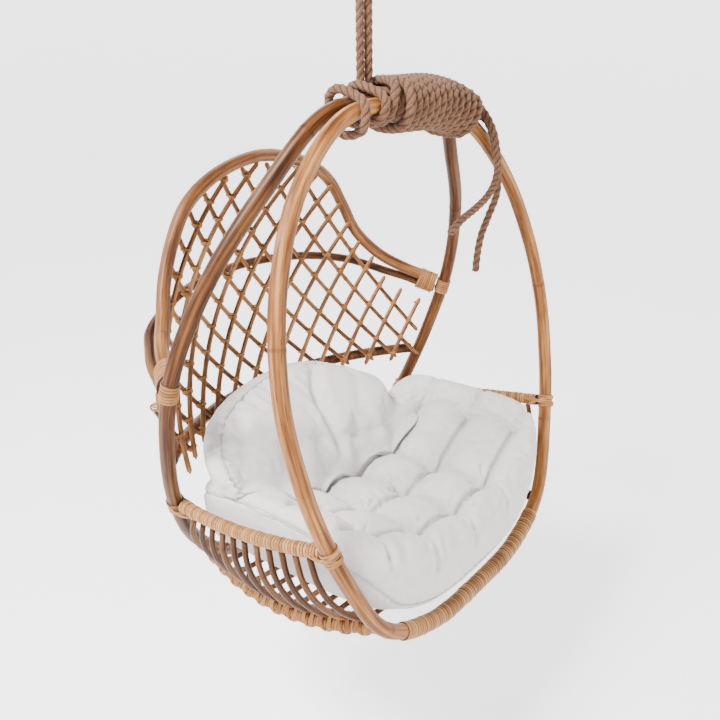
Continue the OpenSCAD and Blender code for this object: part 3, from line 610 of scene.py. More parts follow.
def pole(name, path, diameter, seed, material, sides=20, closed=False, first=(0, 0, 1), step=5.0,
         spacing=growth["spacing"], swell=growth["swell"], roundEnd=0.0):
    line = evenly(path, step, closed)
    chance = np.random.default_rng(seed)
    gaps = spacing * chance.uniform(0.65, 1.3, int((distances(line)[-1] + step) / spacing / 0.65) + 3)
    places = np.cumsum(gaps) - gaps[0] * chance.uniform(0.2, 0.9)
    waves = np.random.default_rng(seed + 50).uniform(0, 6.28, 3)

    def radius(angle, at):
        # round, with a swelling at each growth ring and a slow unevenness along the pole
        slow = 0.012 * np.sin(at / 61 + waves[0]) + 0.01 * np.sin(at / 23 + waves[1] + angle)
        return diameter / 2 * (1 + slow + swell * ringMark(at, places, growth["wide"]) * 0.7)

    def ring(angle, at):
        return np.clip(ringMark(at + 0.8 * np.sin(angle * 2), places, growth["line"]), 0, 1)

    piece = swept(name, line, radius, sides, closed, first, roundEnd=roundEnd, fields={"ring": ring})
    return dress(piece, material)


def butt(ring, s, start, diameter, cover, clear):
    # where a pole that comes from a point ends at a hoop, with the lashing between
    p = onRing(ring, s)
    u = unit(start - p)
    c = abs(u @ ringHeading(ring, s))
    return p + u * (hoops["pole"] / 2 + cover + clear * fit + diameter / 2 * c) / math.sqrt(1 - c * c)


def makeHoops():
    for ring, lean, side, name, node, seed, slot, skin in (
            (frontRing, hoops["frontLean"], -1, "frontHoop", "front_hoop", 3, "light_rattan", honey),
            (backRing, hoops["backLean"], 1, "backHoop", "back_hoop", 8, "dark_rattan", brown)):
        a = math.radians(lean)
        belongs(pole(name, smoothCurve(ring, 24, True), hoops["pole"], seed, skin, hoops["sides"], True,
                     (0, math.cos(a), side * math.sin(a))), "chair", node)


def makeBackPoles():
    ends = []
    for key, name, node, seed, slot, skin, sides, first in (
            ("arch", "headrestArch", "headrest_arch", 21, "mid_rattan", tawny, 24, (0, 1, 0)),
            ("rail", "upperBackRail", "upper_back_rail", 14, "dark_rattan", brown, 20, (0, 0, 1))):
        half, thick = np.array(backPoles[key], float), backPoles[key + "Pole"]
        ends.append(butt(backRing, backPoles[key + "Place"], half[-1], thick, arms["peel"], 5))
        line = smoothCurve(bothSides(np.vstack([half, ends[-1]])), 12)
        belongs(pole(name, line, thick, seed, skin, sides, first=first), "chair", node)
    return ends


makeHoops()
print("hoops made")
archEnd, railEnd = makeBackPoles()


# ---- lattice
lattice = dict(middle=(0, -254, -356), radius=652.0, cane=10.0, slope=50.0, step=5.0, aside=8, gap=0.1,
               reach=345.0, lowPlace=5.3, spacing=170.0, swell=0.16)
ties = dict(wide=7.0, deep=10.6, square=0.8, apart=1.6, strand=1.25, single=0.6)


def caneCircle(i, slope, radius, angle):
    # a great circle: out along X, turned up by i steps about X, then tilted about Y
    a, b = math.radians(i * lattice["step"]), math.radians(slope)
    x, y = radius * np.cos(angle), radius * np.sin(angle)
    y, z = y * math.cos(a), y * math.sin(a)
    return np.stack([x * math.cos(b) + z * math.sin(b), y, z * math.cos(b) - x * math.sin(b)], -1)


def windowEdge():
    # outline, seen from the front, of the space between the arch, the back hoop and the lower rail
    arch = np.array([(q[0], q[2]) for q in backPoles["arch"] if q[0] < lattice["reach"]], float)
    t = unit(np.gradient(arch, axis=0))
    inner = backPoles["archPole"] / 2 + 1
    flat = arch + inner * np.stack([t[:, 1], -t[:, 0]], 1)
    side = [(onRing(backRing, s)[0] - hoops["pole"] / 2 - 1, onRing(backRing, s)[2]) for s in (4.5, 4.7, 4.9, 5.1)]
    foot = onRing(backRing, lattice["lowPlace"])[2] - backPoles["lowPole"] / 2
    half = ([(0, arch[0, 1] - inner)] + [tuple(q) for q in flat if q[0] > 1]
            + [(lattice["reach"], -400), (lattice["reach"], -436)] + side + [(side[-1][0] - 6, foot)])
    return np.array(half + [(-x, z) for x, z in half[:0:-1]])


def within(edge, points):
    # even-odd rule on the outline
    x, z = points[:, 0][:, None], points[:, 2][:, None]
    x0, z0 = edge[:, 0][None], edge[:, 1][None]
    x1, z1 = np.roll(edge[:, 0], -1)[None], np.roll(edge[:, 1], -1)[None]
    cross = ((z0 > z) != (z1 > z)) & (x < (x1 - x0) * (z - z0) / np.where(z1 == z0, 1, z1 - z0) + x0)
    return cross.sum(1) % 2 == 1


def even(value):
    # one value all over a piece
    return lambda angle, at: value + 0 * angle + 0 * at


def band(loop, side, strand, shade):
    # a closed strand of peel in one tone
    return dress(swept("band", loop, strand, 6, True, tuple(side), fields={"shade": even(shade), "edge": even(0)}),
                 peel)


def squared(value, power):
    # sign * |value|^power, which squares off an oval
    return (np.sign(value) * np.abs(value) ** power)[:, None]


def makeLattice():
    edge, middle = windowEdge(), np.array(lattice["middle"])
    angle = np.radians(np.arange(35, 145, 0.1))
    count = range(-lattice["aside"], lattice["aside"] + 1)
    normals = {}
    # each layer lies one cane further in and laps past the window's edge by its own number of tenths of a degree
    for key, slope, inner, laps in (("back", lattice["slope"], 0, 1),
                                    ("front", -lattice["slope"], lattice["cane"] + lattice["gap"], 5)):
        canes = []
        for i in count:
            line = caneCircle(i, slope, lattice["radius"] - inner, angle) + middle
            runs = np.flatnonzero(np.diff(np.concatenate([[0], within(edge, line).astype(int), [0]])))
            for start, end in zip(runs[::2], runs[1::2]):
                if end - start < 20:
                    continue
                stretch = line[max(0, start - laps):min(len(line) - 1, end + laps)]
                canes.append(pole("cane", stretch, lattice["cane"], 100 + 7 * i + len(canes), caneSkin, 10,
                                  first=(0, 1, 0), step=6.0, spacing=lattice["spacing"], swell=lattice["swell"],
                                  roundEnd=1.5))
            p = caneCircle(i, slope, 1.0, np.array([0.0, 1.0]))
            normals[key, i] = unit(np.cross(p[0], p[1]))
        belongs(joined("lattice" + key.capitalize() + "Canes", canes), "chair", "lattice_" + key + "_canes")
    # a band or a cross of peel round each crossing, an oval loop round both canes
    bands = []
    turn = np.linspace(0, 2 * math.pi, 18, endpoint=False)
    for i in count:
        for j in count:
            front, back = normals["front", i], normals["back", j]
            out = np.cross(front, back)
            out = unit(out if out[1] > 0 else -out)
            centre = middle + out * (lattice["radius"] - lattice["cane"] / 2)
            if not within(edge, centre[None])[0]:
                continue
            a, b = unit(np.cross(front, out)), unit(np.cross(back, out))
            b = b if a @ b >= 0 else -b
            chance = np.random.default_rng(1000 + 40 * i + j)
            for across in ([unit(a - b)] if chance.random() < ties["single"] else [unit(a + b), unit(a - b)]):
                loop = (centre + ties["wide"] * squared(np.cos(turn), ties["square"]) * across
                        + ties["deep"] * squared(np.sin(turn), ties["square"]) * out)
                shade = 0.1 + 0.35 * float(chance.random())
                side = np.cross(across, out)
                for off in (-ties["apart"], ties["apart"]):
                    bands.append(band(loop + off * side, side, ties["strand"], shade))
    belongs(joined("latticeTies", bands), "chair")


makeLattice()
print("lattice made")


# ---- peel windings round a pole
# edge: where the painted shade at each turn's edges begins
wound = dict(arm=6.0, runner=5.6, lashing=5.4, rim=7.0, armThick=2.4, thick=2.2, perTurn=7, wave=0.3, edge=0.55)


def woundSleeve(name, path, oval, width, thick, seed, first=(0, 0, 1), sides=28, tone=0.95):
    # turns of flat peel: radius = bare radius + thick * (1 - |2u - 1|^4), u the place across one turn;
    # oval gives the bare radius, or a function of the angle
    length = distances(path)[-1]
    turns = max(1, int(round(length / width)))
    width = length / turns
    chance = np.random.default_rng(seed)
    shades, heights = chance.uniform(0, 1, turns + 3), chance.uniform(0.75, 1.25, turns + 3)
    lean = chance.uniform(-1, 1, 4)

    def place(angle, at):
        wave = 0.5 * np.sin(angle + 3 * lean[0]) + 0.2 * np.sin(2 * angle + at / 40 + lean[1])
        wave = wound["wave"] * wave * np.clip(at / width, 0, 1) * np.clip((length - at) / width, 0, 1)
        u = np.clip(at / width + wave, 0, turns - 1e-6)
        return np.floor(u).astype(int), u - np.floor(u)

    def radius(angle, at):
        k, u = place(angle, at)
        bare = oval(angle) if callable(oval) else oval
        return bare + thick * heights[k] * (0.25 + 0.75 * (1 - np.abs(2 * u - 1) ** 4))

    def shade(angle, at):
        return tone * (0.1 + 0.9 * shades[place(angle, at)[0]])

    # painted shade: darker towards both edges of each turn, where the turns meet
    def edge(angle, at):
        return np.clip((np.abs(2 * place(angle, at)[1] - 1) - wound["edge"]) / 0.35, 0, 1) * 0.95

    line = evenly(path, width / wound["perTurn"])
    return dress(swept(name, line, radius, sides, False, first, fields={"shade": shade, "edge": edge}),
                 peel)


# ---- the basket: arm rails, runners below and spindles between
runners = dict(pole=18.0, front=7.1, back=7.0, bow=(28, 0, -38), tieRoom=6.0)
spindles = dict(pole=11.0, count=11, first=0.07, last=0.9, spacing=210.0, swell=0.12)
runnerTies = dict(high=19.2, wide=12.7, lean=9.0, lift=5.5, apart=2.5, strand=1.35, tone=0.6)


def bendPath(p, q, bow, n=80):
    # one round bend from p to q, pushed out by the part of bow that is square to them
    c = q - p
    u = unit(c)
    v = np.array(bow, float) - (np.array(bow, float) @ u) * u
    a = 2 * math.atan(2 * np.linalg.norm(v) / np.linalg.norm(c))
    heading = math.cos(a) * u + math.sin(a) * unit(v)
    cross = np.cross(heading, c)
    x = np.cross(heading, unit(cross))
    r = c @ c / (2 * np.linalg.norm(cross))
    a = np.linspace(0, 2 * math.atan2(np.linalg.norm(cross), heading @ c), n)[:, None]
    return p - r * x + r * (np.cos(a) * x + np.sin(a) * heading)


def hoopToHoop(place, diameter, cover, clear):
    # a bent pole from the back hoop to the front one, clear of both by its lashings
    p, q = onRing(backRing, place["back"]), onRing(frontRing, place["front"])
    return bendPath(butt(backRing, place["back"], q, diameter, cover, clear),
                    butt(frontRing, place["front"], p, diameter, cover, clear), place["bow"])


runnerOut = runners["pole"] + 2 * arms["peel"]
armLine = hoopToHoop(arms, arms["pole"] + 2 * arms["peel"], arms["peel"], 5)
runnerLine = hoopToHoop(runners, runnerOut + runners["tieRoom"], 0, 1)


def spindleHalf(f):
    # from the arm rail in and down, over the runner and under the seat to the middle
    a, b = partWay(armLine, f)[0], partWay(runnerLine, f)[0]
    d = a - b
    lift = (runnerOut + spindles["pole"]) / 2 + 2 * fit
    under = arms["pole"] / 2 + arms["peel"] + max(3.2, 10.6 - 11 * f) * fit
    return np.array([a - [0, 0, under], b + d * [0.96, 0.7, 0.7], b + d * [0.74, 0.45, 0.45],
                     b + d * [0.34, 0.2, 0.21], b + [-0.5 * lift, 0, 0.9 * lift], b + [-80, 0, 0.45 * lift],
                     [110, b[1], b[2] + 0.3 * lift], [0, b[1], b[2] + 0.25 * lift]])


def makeBasket():
    shares = [1 - spindles["last"] + (spindles["last"] - spindles["first"]) * i / (spindles["count"] - 1)
              for i in range(spindles["count"])]
    rods, bands = [], []
    for i, f in enumerate(shares):
        half = spindleHalf(f)
        rods.append(pole("rod", smoothCurve(np.concatenate([half, half[-2::-1] * flip]), 10), spindles["pole"],
                         300 + i, brown if i % 3 else tawny, 12, first=(0, 1, 0), step=7.0,
                         spacing=spindles["spacing"], swell=spindles["swell"]))
    belongs(joined("basketSpindles", rods), "chair", "basket_spindles")
    turn = np.linspace(0, 2 * math.pi, 28, endpoint=False)[:, None]
    for side, name in ((1, "left"), (-1, "right")):
        mirror = np.array([side, 1.0, 1])
        for label, node, line, bare, width, seed, tone in (
                ("ArmPeel", "_arm_wrap", armLine, arms["pole"] / 2 + 0.1, wound["arm"], 5, 0.95),
                ("RunnerPeel", "_runner_wrap", runnerLine, runners["pole"] / 2 + 0.1, wound["runner"], 15, 0.4)):
            belongs(woundSleeve(name + label, line * mirror, bare, width, wound["armThick"], seed + side, tone=tone),
                    "chair", name + node)
        # crossed strips that tie each spindle to the runner
        for i, f in enumerate(shares):
            b, along = partWay(runnerLine, f)
            top = spindleHalf(f)[4] - b
            out = unit(top - (top @ along) * along)
            across = np.cross(along, out)
            for lean in (-1, 1):
                loop = (b + out * runnerTies["lift"] + runnerTies["high"] * np.sin(turn) * out
                        + runnerTies["wide"] * np.cos(turn) * across + lean * runnerTies["lean"] * np.cos(turn) * along)
                shade = runnerTies["tone"] * float(np.random.default_rng(500 + 9 * i + lean).random())
                for off in (-runnerTies["apart"], 0, runnerTies["apart"]):
                    bands.append(band((loop + off * along) * mirror, along * mirror, runnerTies["strand"], shade))
    belongs(joined("runnerTies", bands), "chair")


makeBasket()
for material, nodes in ((brownCad, ("lower_back_rail", "left_runner", "right_runner")),
                        (tawnyCad, ("left_arm_rail", "right_arm_rail")), (blackIron, ("ceiling_plate",)),
                        (brightSteel, ("thrust_washer", "swivel_eye", "hook_gate", "gate_pin"))):
    for node in nodes:
        dress(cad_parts[node], material)
print("basket made")


# ---- lashings
lashings = dict(place=4.25, turn=7.0, bare=0.6, tone=0.55, endBack=44, endLong=42, endTall=13.5, endWide=14.2)
armStrands = dict(crossed=((-1, 12.0), (1, 12.0), (-0.6, 20.0)), round=16.6, lean=9, apart=1.6, strand=1.3)
rim = dict(below=-700, aside=255, bare=0.3)


def makeLashings():
    bare = hoops["pole"] / 2 + lashings["bare"]
    for side, name in ((1, "left"), (-1, "right")):
        mirror = np.array([side, 1.0, 1])
        for ring, s, turns, label, node, seed in (
                (backRing, lashings["place"], 5, "UpperLashing", "_upper_lashing", 31),
                (frontRing, arms["front"], 4, "FrontArmLashing", "_front_arm_lashing", 32),
                (backRing, arms["back"], 4, "BackArmLashing", "_back_arm_lashing", 33)):
            perPlace = np.linalg.norm(onRing(ring, s + 0.05) - onRing(ring, s - 0.05)) / 0.1
            half = turns * lashings["turn"] / 2 / perPlace
            line = onRing(ring, np.linspace(s - half, s + half, 60)) * mirror
            belongs(woundSleeve(name + label, line, bare, wound["lashing"], wound["thick"], seed + side, (0, 1, 0),
                                tone=lashings["tone"]), "chair", name + node)
        # oval turns round the ends of the arch and the upper rail
        u = unit(archEnd - backPoles["arch"][-1])
        split = archEnd - railEnd
        split = split - (split @ u) * u
        tall, wide = np.linalg.norm(split) / 2 + lashings["endTall"], lashings["endWide"]
        start = (archEnd + railEnd) / 2 - u * lashings["endBack"]

        def oval(angle):
            return tall * wide / np.sqrt((wide * np.cos(angle)) ** 2 + (tall * np.sin(angle)) ** 2)

        line = start + (np.linspace(0, lashings["endLong"], 40)[:, None]) * u
        belongs(woundSleeve(name + "ArchEndTurns", line * mirror, oval, wound["lashing"], wound["thick"], 41 + side,
                            tuple(unit(split) * mirror), 36, lashings["tone"]), "chair")
        # strands that cross from the arm rail over each hoop
        strands = []
        t = np.linspace(0, 2 * math.pi, 40, endpoint=False)[:, None]
        for ring, s, end in ((frontRing, arms["front"], armLine[-1]), (backRing, arms["back"], armLine[0])):
            p, h = onRing(ring, s), ringHeading(ring, s)
            toArm = unit(end - p - ((end - p) @ h) * h)
            across = np.cross(h, toArm)
            for lean, reach in armStrands["crossed"]:
                loop = (p + toArm * (reach - 2) + (reach + 16.5) * np.cos(t) * toArm
                        + armStrands["round"] * np.sin(t) * across + lean * armStrands["lean"] * np.cos(t) * h)
                for off in (-armStrands["apart"], 0, armStrands["apart"]):
                    strands.append(band((loop + off * h) * mirror, h * mirror, armStrands["strand"], 0.5 + 0.2 * lean))
        belongs(joined(name + "ArmStrands", strands), "chair")
    # the wrapped stretch of the front rim
    line = smoothCurve(frontRing, 24, True)
    line = line[(line[:, 2] < rim["below"]) & (np.abs(line[:, 0]) < rim["aside"])]
    a = math.radians(hoops["frontLean"])
    belongs(woundSleeve("frontRimPeel", line, hoops["pole"] / 2 + rim["bare"], wound["rim"], wound["thick"], 51,
                        (0, math.cos(a), -math.sin(a))), "chair", "front_rim_wrap")


makeLashings()
print("lashings made")


# ---- snap hook, a smooth bar with the ear that holds the gate pin
def makeHook():
    r = hook["r"]

    def bend(degrees, level):
        a = np.radians(degrees)
        return np.stack([0 * a, r * np.cos(a), hook[level] + r * np.sin(a)], 1)

    bar = np.concatenate([[[0, r, hook["gateLow"] - 4]], bend(np.arange(0, -181, -9.0), "lower"),
                          bend(np.arange(180, -1, -9.0), "upper"), [[0, r, hook["gateHigh"] + fit]]])
    ear = np.linspace([-1.8, r, hook["gateLow"]], [1.8, r, hook["gateLow"]], 5)
    parts = [swept(name, line, hook["bar"] / 2, 24, False, first, True)
             for name, line, first in (("bar", bar, (1, 0, 0)), ("ear", ear, (0, 0, 1)))]
    belongs(dress(joined("snapHook", parts), brightSteel), "hook", "snap_hook")


makeHook()
print("hook made")


# ---- cushions
seat = dict(middle=(0, 12, -809), wide=360.0, front=223.0, back=214.0, corner=6.0, shear=0.25, thick=162.0,
            rise=120.0, bend=2.6, topRound=14, lowRound=30, inset=4, sag=47.0, sagWide=250, rings=40, sectors=160)
tuft = dict(rows=(-0.95, 0, 1.05), step=122.0, aside=-20, ahead=-40, climb=0.8, deep=18.0, wide=30.0,
            front=75, fan=12, left=70, right=90)
backPad = dict(turn=40.0, skew=6.0, high=-18.8, low=-36.0, slump=12.0, topThick=100.0, lowThick=215.0, corner=3,
               round=5, draw=30.0, drawHigh=66.0, follow=0.8, lip=18.0, rings=36, sectors=150)
cloth = dict(creaseDepth=40.0, creaseWidth=19.0, voxel=6.0, pressure=4.0, bend=0.6, cap=12.0, steps=20)
sewn = dict(seam=1.5, thread=0.9, stitch=5.5, bow=2.2, turns=(0.7, 2.3), lidDepth=7.0, lidWidth=6.0)
pleats = dict(count=9, start=5, long=(20, 46), deep=(2.0, 4.2), wide=(3.2, 5.5), curl=0.12)
gather = dict(start=5.0, slant=0.35, wide=(2.6, 4.4), behind=0.6)
seatSeam = [(0, -204, -864), (-101, -202, -864), (-180, -198, -852), (-247, -188, -820), (-285, -180, -780),
            (-320, -160, -738), (-345, -120, -702), (-356, -64, -672), (-358, 23, -664), (-358, 101, -666),
            (-350, 183, -680), (-300, 225, -712), (-200, 238, -765), (-100, 236, -795), (0, 232, -805)]
# each fold is a line, its depth and its width
backFolds = [([(62, 274, -573), (17, 235, -583), (-12, 203, -606), (-22, 162, -640), (-34, 120, -675),
               (-40, 90, -702)], 10, 11),
             ([(-40, 120, -672), (18, 120, -676), (70, 104, -690), (120, 110, -690)], 5, 12),
             ([(-200, 132, -632), (-150, 131, -645), (-100, 130, -652), (-50, 125, -665)], 4.5, 14),
             ([(-225, 240, -566), (-232, 220, -570), (-261, 179, -583), (-291, 141, -597), (-305, 110, -616)], 6, 13),
             ([(-320, 240, -585), (-300, 236, -578), (-280, 222, -575), (-270, 196, -580)], 4, 8),
             ([(-255, 268, -572), (-236, 252, -566), (-212, 232, -566), (-196, 205, -576)], 4, 8),
             ([(-200, 280, -568), (-176, 256, -566), (-172, 232, -570), (-186, 200, -584)], 3.5, 8),
             ([(-120, 300, -566), (-98, 278, -563), (-108, 250, -567), (-128, 225, -577)], 3.5, 9),
             ([(140, 235, -590), (110, 190, -620), (60, 140, -660), (-10, 105, -692)], 3.5, 16),
             ([(-345, 170, -610), (-325, 150, -610), (-312, 130, -612)], 4, 8),
             ([(-352, 140, -640), (-335, 128, -636), (-318, 118, -634)], 4, 7)]


def squircle(a, w, l, n):
    # the radius at angle a of |x / w|^n + |y / l|^n = 1
    return ((np.abs(np.cos(a)) / w) ** n + (np.abs(np.sin(a)) / l) ** n) ** (-1 / n)


def seatLevel(x):
    # the raised sides: middle + rise * |x / half width|^bend
    return seat["middle"][2] + seat["rise"] * (np.abs(x) / seat["wide"]) ** seat["bend"]


def seatLean(x):
    # the raised sides sit a little further back: middle + shear * the rise
    return seat["middle"][1] + seat["shear"] * (seatLevel(x) - seat["middle"][2])


def seatSide(a):
    # the half length of the seat on the side that the angle points to
    return np.where(np.sin(a) > 0, seat["back"], seat["front"])


def seatReach(x, y):
    # 0 in the middle of the seat, 1 at its edge: distance / squircle's radius
    a = np.arctan2(y - seatLean(x), x)
    return np.hypot(x, y - seatLean(x)) / squircle(a, seat["wide"], seatSide(a), seat["corner"])


def seatTufts():
    # three rows of five; the outer ones sit in from an even step
    places = []
    for row in tuft["rows"]:
        for i in range(-2, 3):
            x, y = tuft["step"] * i + tuft["aside"], tuft["step"] * row + tuft["ahead"]
            y += tuft["climb"] * (seatLevel(x) - seat["middle"][2])
            x += 15 if x < -200 else 60 if x > 200 else 0
            places.append((x, y))
    return np.array(places)


tufts = seatTufts()


def seatCreases():
    # folds that run from tuft to tuft, and from the outer tufts to the edge
    t = tufts.reshape(3, 5, 2)
    pairs = [(t[r, i], t[r, i + 1], 1.0) for r in range(3) for i in range(4)]
    pairs += [(t[r, i], t[r + 1, i], 1.0) for r in range(2) for i in range(5)]
    pairs += [(t[0, i], t[0, i] + [(i - 2) * tuft["fan"], -tuft["front"]], 0.7) for i in range(5)]
    pairs += [(t[r, 4], t[r, 4] + [tuft["left"], 0], 0.6) for r in range(3)]
    pairs += [(t[r, 0], t[r, 0] - [tuft["right"], 0], 0.6) for r in range(3)]
    return pairs


def nearLine(points, line):
    # for each point, its distance to a broken line and the share of the line up to there
    away, along, s = np.full(len(points), 1e9), np.zeros(len(points)), distances(line)
    for a, b, s0, s1 in zip(line[:-1], line[1:], s[:-1], s[1:]):
        d = b - a
        t = np.clip((points - a) @ d / max(1e-9, d @ d), 0, 1)
        r = np.linalg.norm(points - a - t[:, None] * d, axis=1)
        closer = r < away
        away[closer] = r[closer]
        along[closer] = (s0 + t * (s1 - s0))[closer] / s[-1]
    return away, along


def tuftSquares(x, y):
    # squared distances from each point to each tuft
    return (x[..., None] - tufts[:, 0]) ** 2 + (y[..., None] - tufts[:, 1]) ** 2


def tuftDip(x, y):
    # a round hollow at each tuft: depth * exp(-(distance / width)^2)
    return tuft["deep"] * np.minimum(1.1, np.exp(-tuftSquares(x, y) / tuft["wide"] ** 2).sum(-1))


def creaseDip(x, y):
    # sharp valleys between tufts: exp(-distance / width), shallower halfway
    flat = np.stack([x.ravel(), y.ravel()], 1)
    dip = np.zeros(len(flat))
    for a, b, share in seatCreases():
        away, t = nearLine(flat, np.array([a, b]))
        ends = 0.6 + 0.4 * (2 * t - 1) ** 2 if share == 1.0 else 1 - t ** 2
        dip = np.maximum(dip, share * ends * np.exp(-away / cloth["creaseWidth"]))
    return dip.reshape(np.shape(x))


def seatTop(x, y):
    # level + half the thickness * sqrt(1 - reach^n), less the hollows of the tufts
    q = np.minimum(1, seatReach(x, y))
    return (seatLevel(x) + seat["thick"] / 2 * np.sqrt(np.clip(1 - q ** seat["topRound"], 0, None))
            - tuftDip(x, y) * (1 - q ** 4))


def seatFloor(x, y):
    # the level of the spindles, which climb over the runners at the sides
    back, front = runnerLine[0, 1], runnerLine[-1, 1]
    at = np.clip((back - y) / (back - front), 0, 1) * (len(runnerLine) - 1)
    count = np.arange(len(runnerLine))
    rise = 0.3 + 0.7 * np.minimum(1, (x / np.interp(at, count, runnerLine[:, 0])) ** 4)
    # it sags to the rim in front of the last spindle
    past = partWay(runnerLine, 1 - spindles["first"])[0][1] - 1.5 * spindles["pole"] - y
    sag = seat["sag"] * np.clip(past / 12, 0, 1) * (1 - np.minimum(1, (np.abs(x) / seat["sagWide"]) ** 3))
    return (np.interp(at, count, runnerLine[:, 2]) + rise * (runnerOut + spindles["pole"]) / 2
            + spindles["pole"] / 2 + 3 * fit - sag)


def padGrid(point, shape):
    # rings from the middle below out to the rim and back in to the middle of the top
    q = np.sqrt(np.linspace(0, 1, shape["rings"] + 1))[:, None]
    a = (np.arange(shape["sectors"]) * 2 * math.pi / shape["sectors"])[None, :]
    top, low = point(q[1:], a, True), point(q[-2:0:-1], a, False)
    return np.concatenate([low[::-1], top[::-1]])


def seatPoint(q, a, up):
    # q goes from the middle to the edge and a round it: level +- half the thickness * sqrt(1 - q^n), with the dips
    r = q * squircle(a, seat["wide"] - seat["inset"], seatSide(a) - seat["inset"], seat["corner"])
    x = r * np.cos(a)
    y = seatLean(x) + r * np.sin(a)
    puff = np.sqrt(np.clip(1 - q ** (seat["topRound"] if up else seat["lowRound"]), 0, None))
    if up:
        dip = tuftDip(x, y) + cloth["creaseDepth"] * creaseDip(x, y)
        z = seatLevel(x) + (seat["thick"] / 2 + 1) * puff - dip * (1 - q ** 8)
    else:
        z = np.maximum(seatLevel(x) - (seat["thick"] / 2 - seat["inset"]) * puff, seatFloor(x, y) + 1)
    return np.stack([x, y, z], -1)


def backPoint(q, a, front):
    # the pad lies on the lattice's sphere: turned by u and tilted by v, thicker at its foot
    r = q * squircle(a, 1, 1, backPad["corner"])
    u, v = r * np.cos(a), r * np.sin(a)
    radius = lattice["radius"] - 1.5 * lattice["cane"] - lattice["gap"] - 2 * fit - 3
    top = backPad["high"] - backPad["slump"] * np.clip(u, 0, None) ** 1.5
    tilt = np.radians((top + backPad["low"]) / 2 + v * (top - backPad["low"]) / 2)
    turn = np.radians(u * (backPad["turn"] - backPad["skew"] * u))
    puff = np.sqrt(np.clip(1 - q ** backPad["round"], 0, None))
    thick = backPad["topThick"] + (backPad["lowThick"] - backPad["topThick"]) * (1 - v) / 2 - 6
    out = radius * np.cos(tilt) - thick / 2 * (1 + puff if front else 1 - puff)
    x, y = out * np.sin(turn), lattice["middle"][1] + out * np.cos(turn)
    z = lattice["middle"][2] + radius * np.sin(tilt)
    # it rests on the seat: low heights above the seat's top are drawn down
    rise, reach = z - seatTop(x, y), seatReach(x, y)
    draw, high = backPad["draw"], backPad["drawHigh"]
    drawn = np.where(rise < high, (rise - draw) * high / (high - draw), rise)
    rise = rise + np.clip((1.02 - reach) / 0.12, 0, 1) * (drawn - rise)
    # near the seat it also follows the seat's creases
    near = backPad["follow"] * np.clip(1 - rise / 50, 0, 1) * (1 - np.minimum(1, reach) ** 8)
    sunk = seatTop(x, y) - near * cloth["creaseDepth"] * creaseDip(x, y)
    least = backPad["lip"] * np.clip((puff - 0.4) / 0.5, 0, 1) - 0.5 if front else -6
    return np.stack([x, y, np.where(reach < 1.15, sunk + np.maximum(rise, least), z)], -1)


def seatHold(p):
    # tufts are held, and so are the underside, the part below the back cushion and, in part, creases and sides
    x, y, z = p.T
    near = np.exp(-tuftSquares(x, y) / 260).sum(1)
    low = np.clip((seatLevel(x) + 12 - z) / 25, 0, 1)
    rear = np.clip((y - seatLean(x) - 95) / 40, 0, 1)
    side = 0.75 * np.clip((np.abs(x) - 318) / 20, 0, 1)
    return np.max([near, low, rear, side, creaseDip(x, y)], axis=0)


def backHold(p):
    # the face against the lattice, the part close to the seat and the deepest fold
    x, y, z = p.T
    r = np.linalg.norm(p - np.array(lattice["middle"]), axis=1)
    rear = np.clip((r - lattice["radius"] + 62) / 35, 0, 1)
    low = np.where(seatReach(x, y) < 1.15, np.clip((seatTop(x, y) + 42 - z) / 25, 0, 1), 0)
    fold = 0.6 * np.exp(-(nearLine(p, np.array(backFolds[0][0], float))[0] / 14) ** 2)
    return np.max([rear, low, fold], axis=0)


def vectors(rows, key):
    # three numbers for each row of a mesh
    out = np.zeros(len(rows) * 3, np.float32)
    rows.foreach_get(key, out)
    return out.reshape(-1, 3).astype(float)


def placePoints(piece, points):
    piece.data.vertices.foreach_set("co", points.astype(np.float32).ravel())
    piece.data.update()


def finished(piece):
    # the piece's modifiers made part of its mesh
    made = bpy.data.meshes.new_from_object(piece.evaluated_get(bpy.context.evaluated_depsgraph_get()))
    piece.modifiers.clear()
    piece.data = made
    return piece


def swell(piece, hold):
    # cloth blown up from inside; held points stay, and no point moves further than the cap
    piece.data.remesh_voxel_size = cloth["voxel"] / 1000
    bpy.ops.object.select_all(action="DESELECT")
    piece.select_set(True)
    bpy.context.view_layer.objects.active = piece
    bpy.ops.object.voxel_remesh()
    rest = vectors(piece.data.vertices, "co")
    held = np.clip(hold(rest * 1000), 0, 1)
    group = piece.vertex_groups.new(name="held")
    for level in range(1, 11):
        group.add(np.flatnonzero(np.round(held * 10) == level).tolist(), level / 10, "REPLACE")
    blown = piece.modifiers.new("blown", "CLOTH")
    settings = blown.settings
    settings.use_pressure = True
    settings.uniform_pressure_force = cloth["pressure"]
    settings.vertex_group_mass = "held"
    settings.shrink_min = -0.05
    settings.bending_stiffness = cloth["bend"]
    settings.effector_weights.gravity = 0
    blown.point_cache.frame_start, blown.point_cache.frame_end = 1, cloth["steps"]
    scene = bpy.context.scene
    before = scene.frame_current
    for step in range(1, cloth["steps"] + 1):
        scene.frame_set(step)
    finished(piece)
    moved = vectors(piece.data.vertices, "co") - rest
    scene.frame_set(before)
    size = np.linalg.norm(moved, axis=1)
    most = cloth["cap"] / 1000 * (1 - held)
    moved *= (np.minimum(size, most) / np.maximum(size, 1e-9))[:, None]
    placePoints(piece, rest + moved)
    piece.vertex_groups.clear()
    soft = piece.modifiers.new("soft", "SMOOTH")
    soft.factor, soft.iterations = 0.5, 2
    fine = piece.modifiers.new("fine", "SUBSURF")
    fine.levels = fine.render_levels = 1
    finished(piece)


def laidOn(tree, line):
    # a line carried onto the nearest places of the surface, in millimetres
    line = evenly(line, 6.0)
    return eased(np.array([tree.find_nearest(Vector(p / 1000))[0] for p in line]) * 1000, 4)


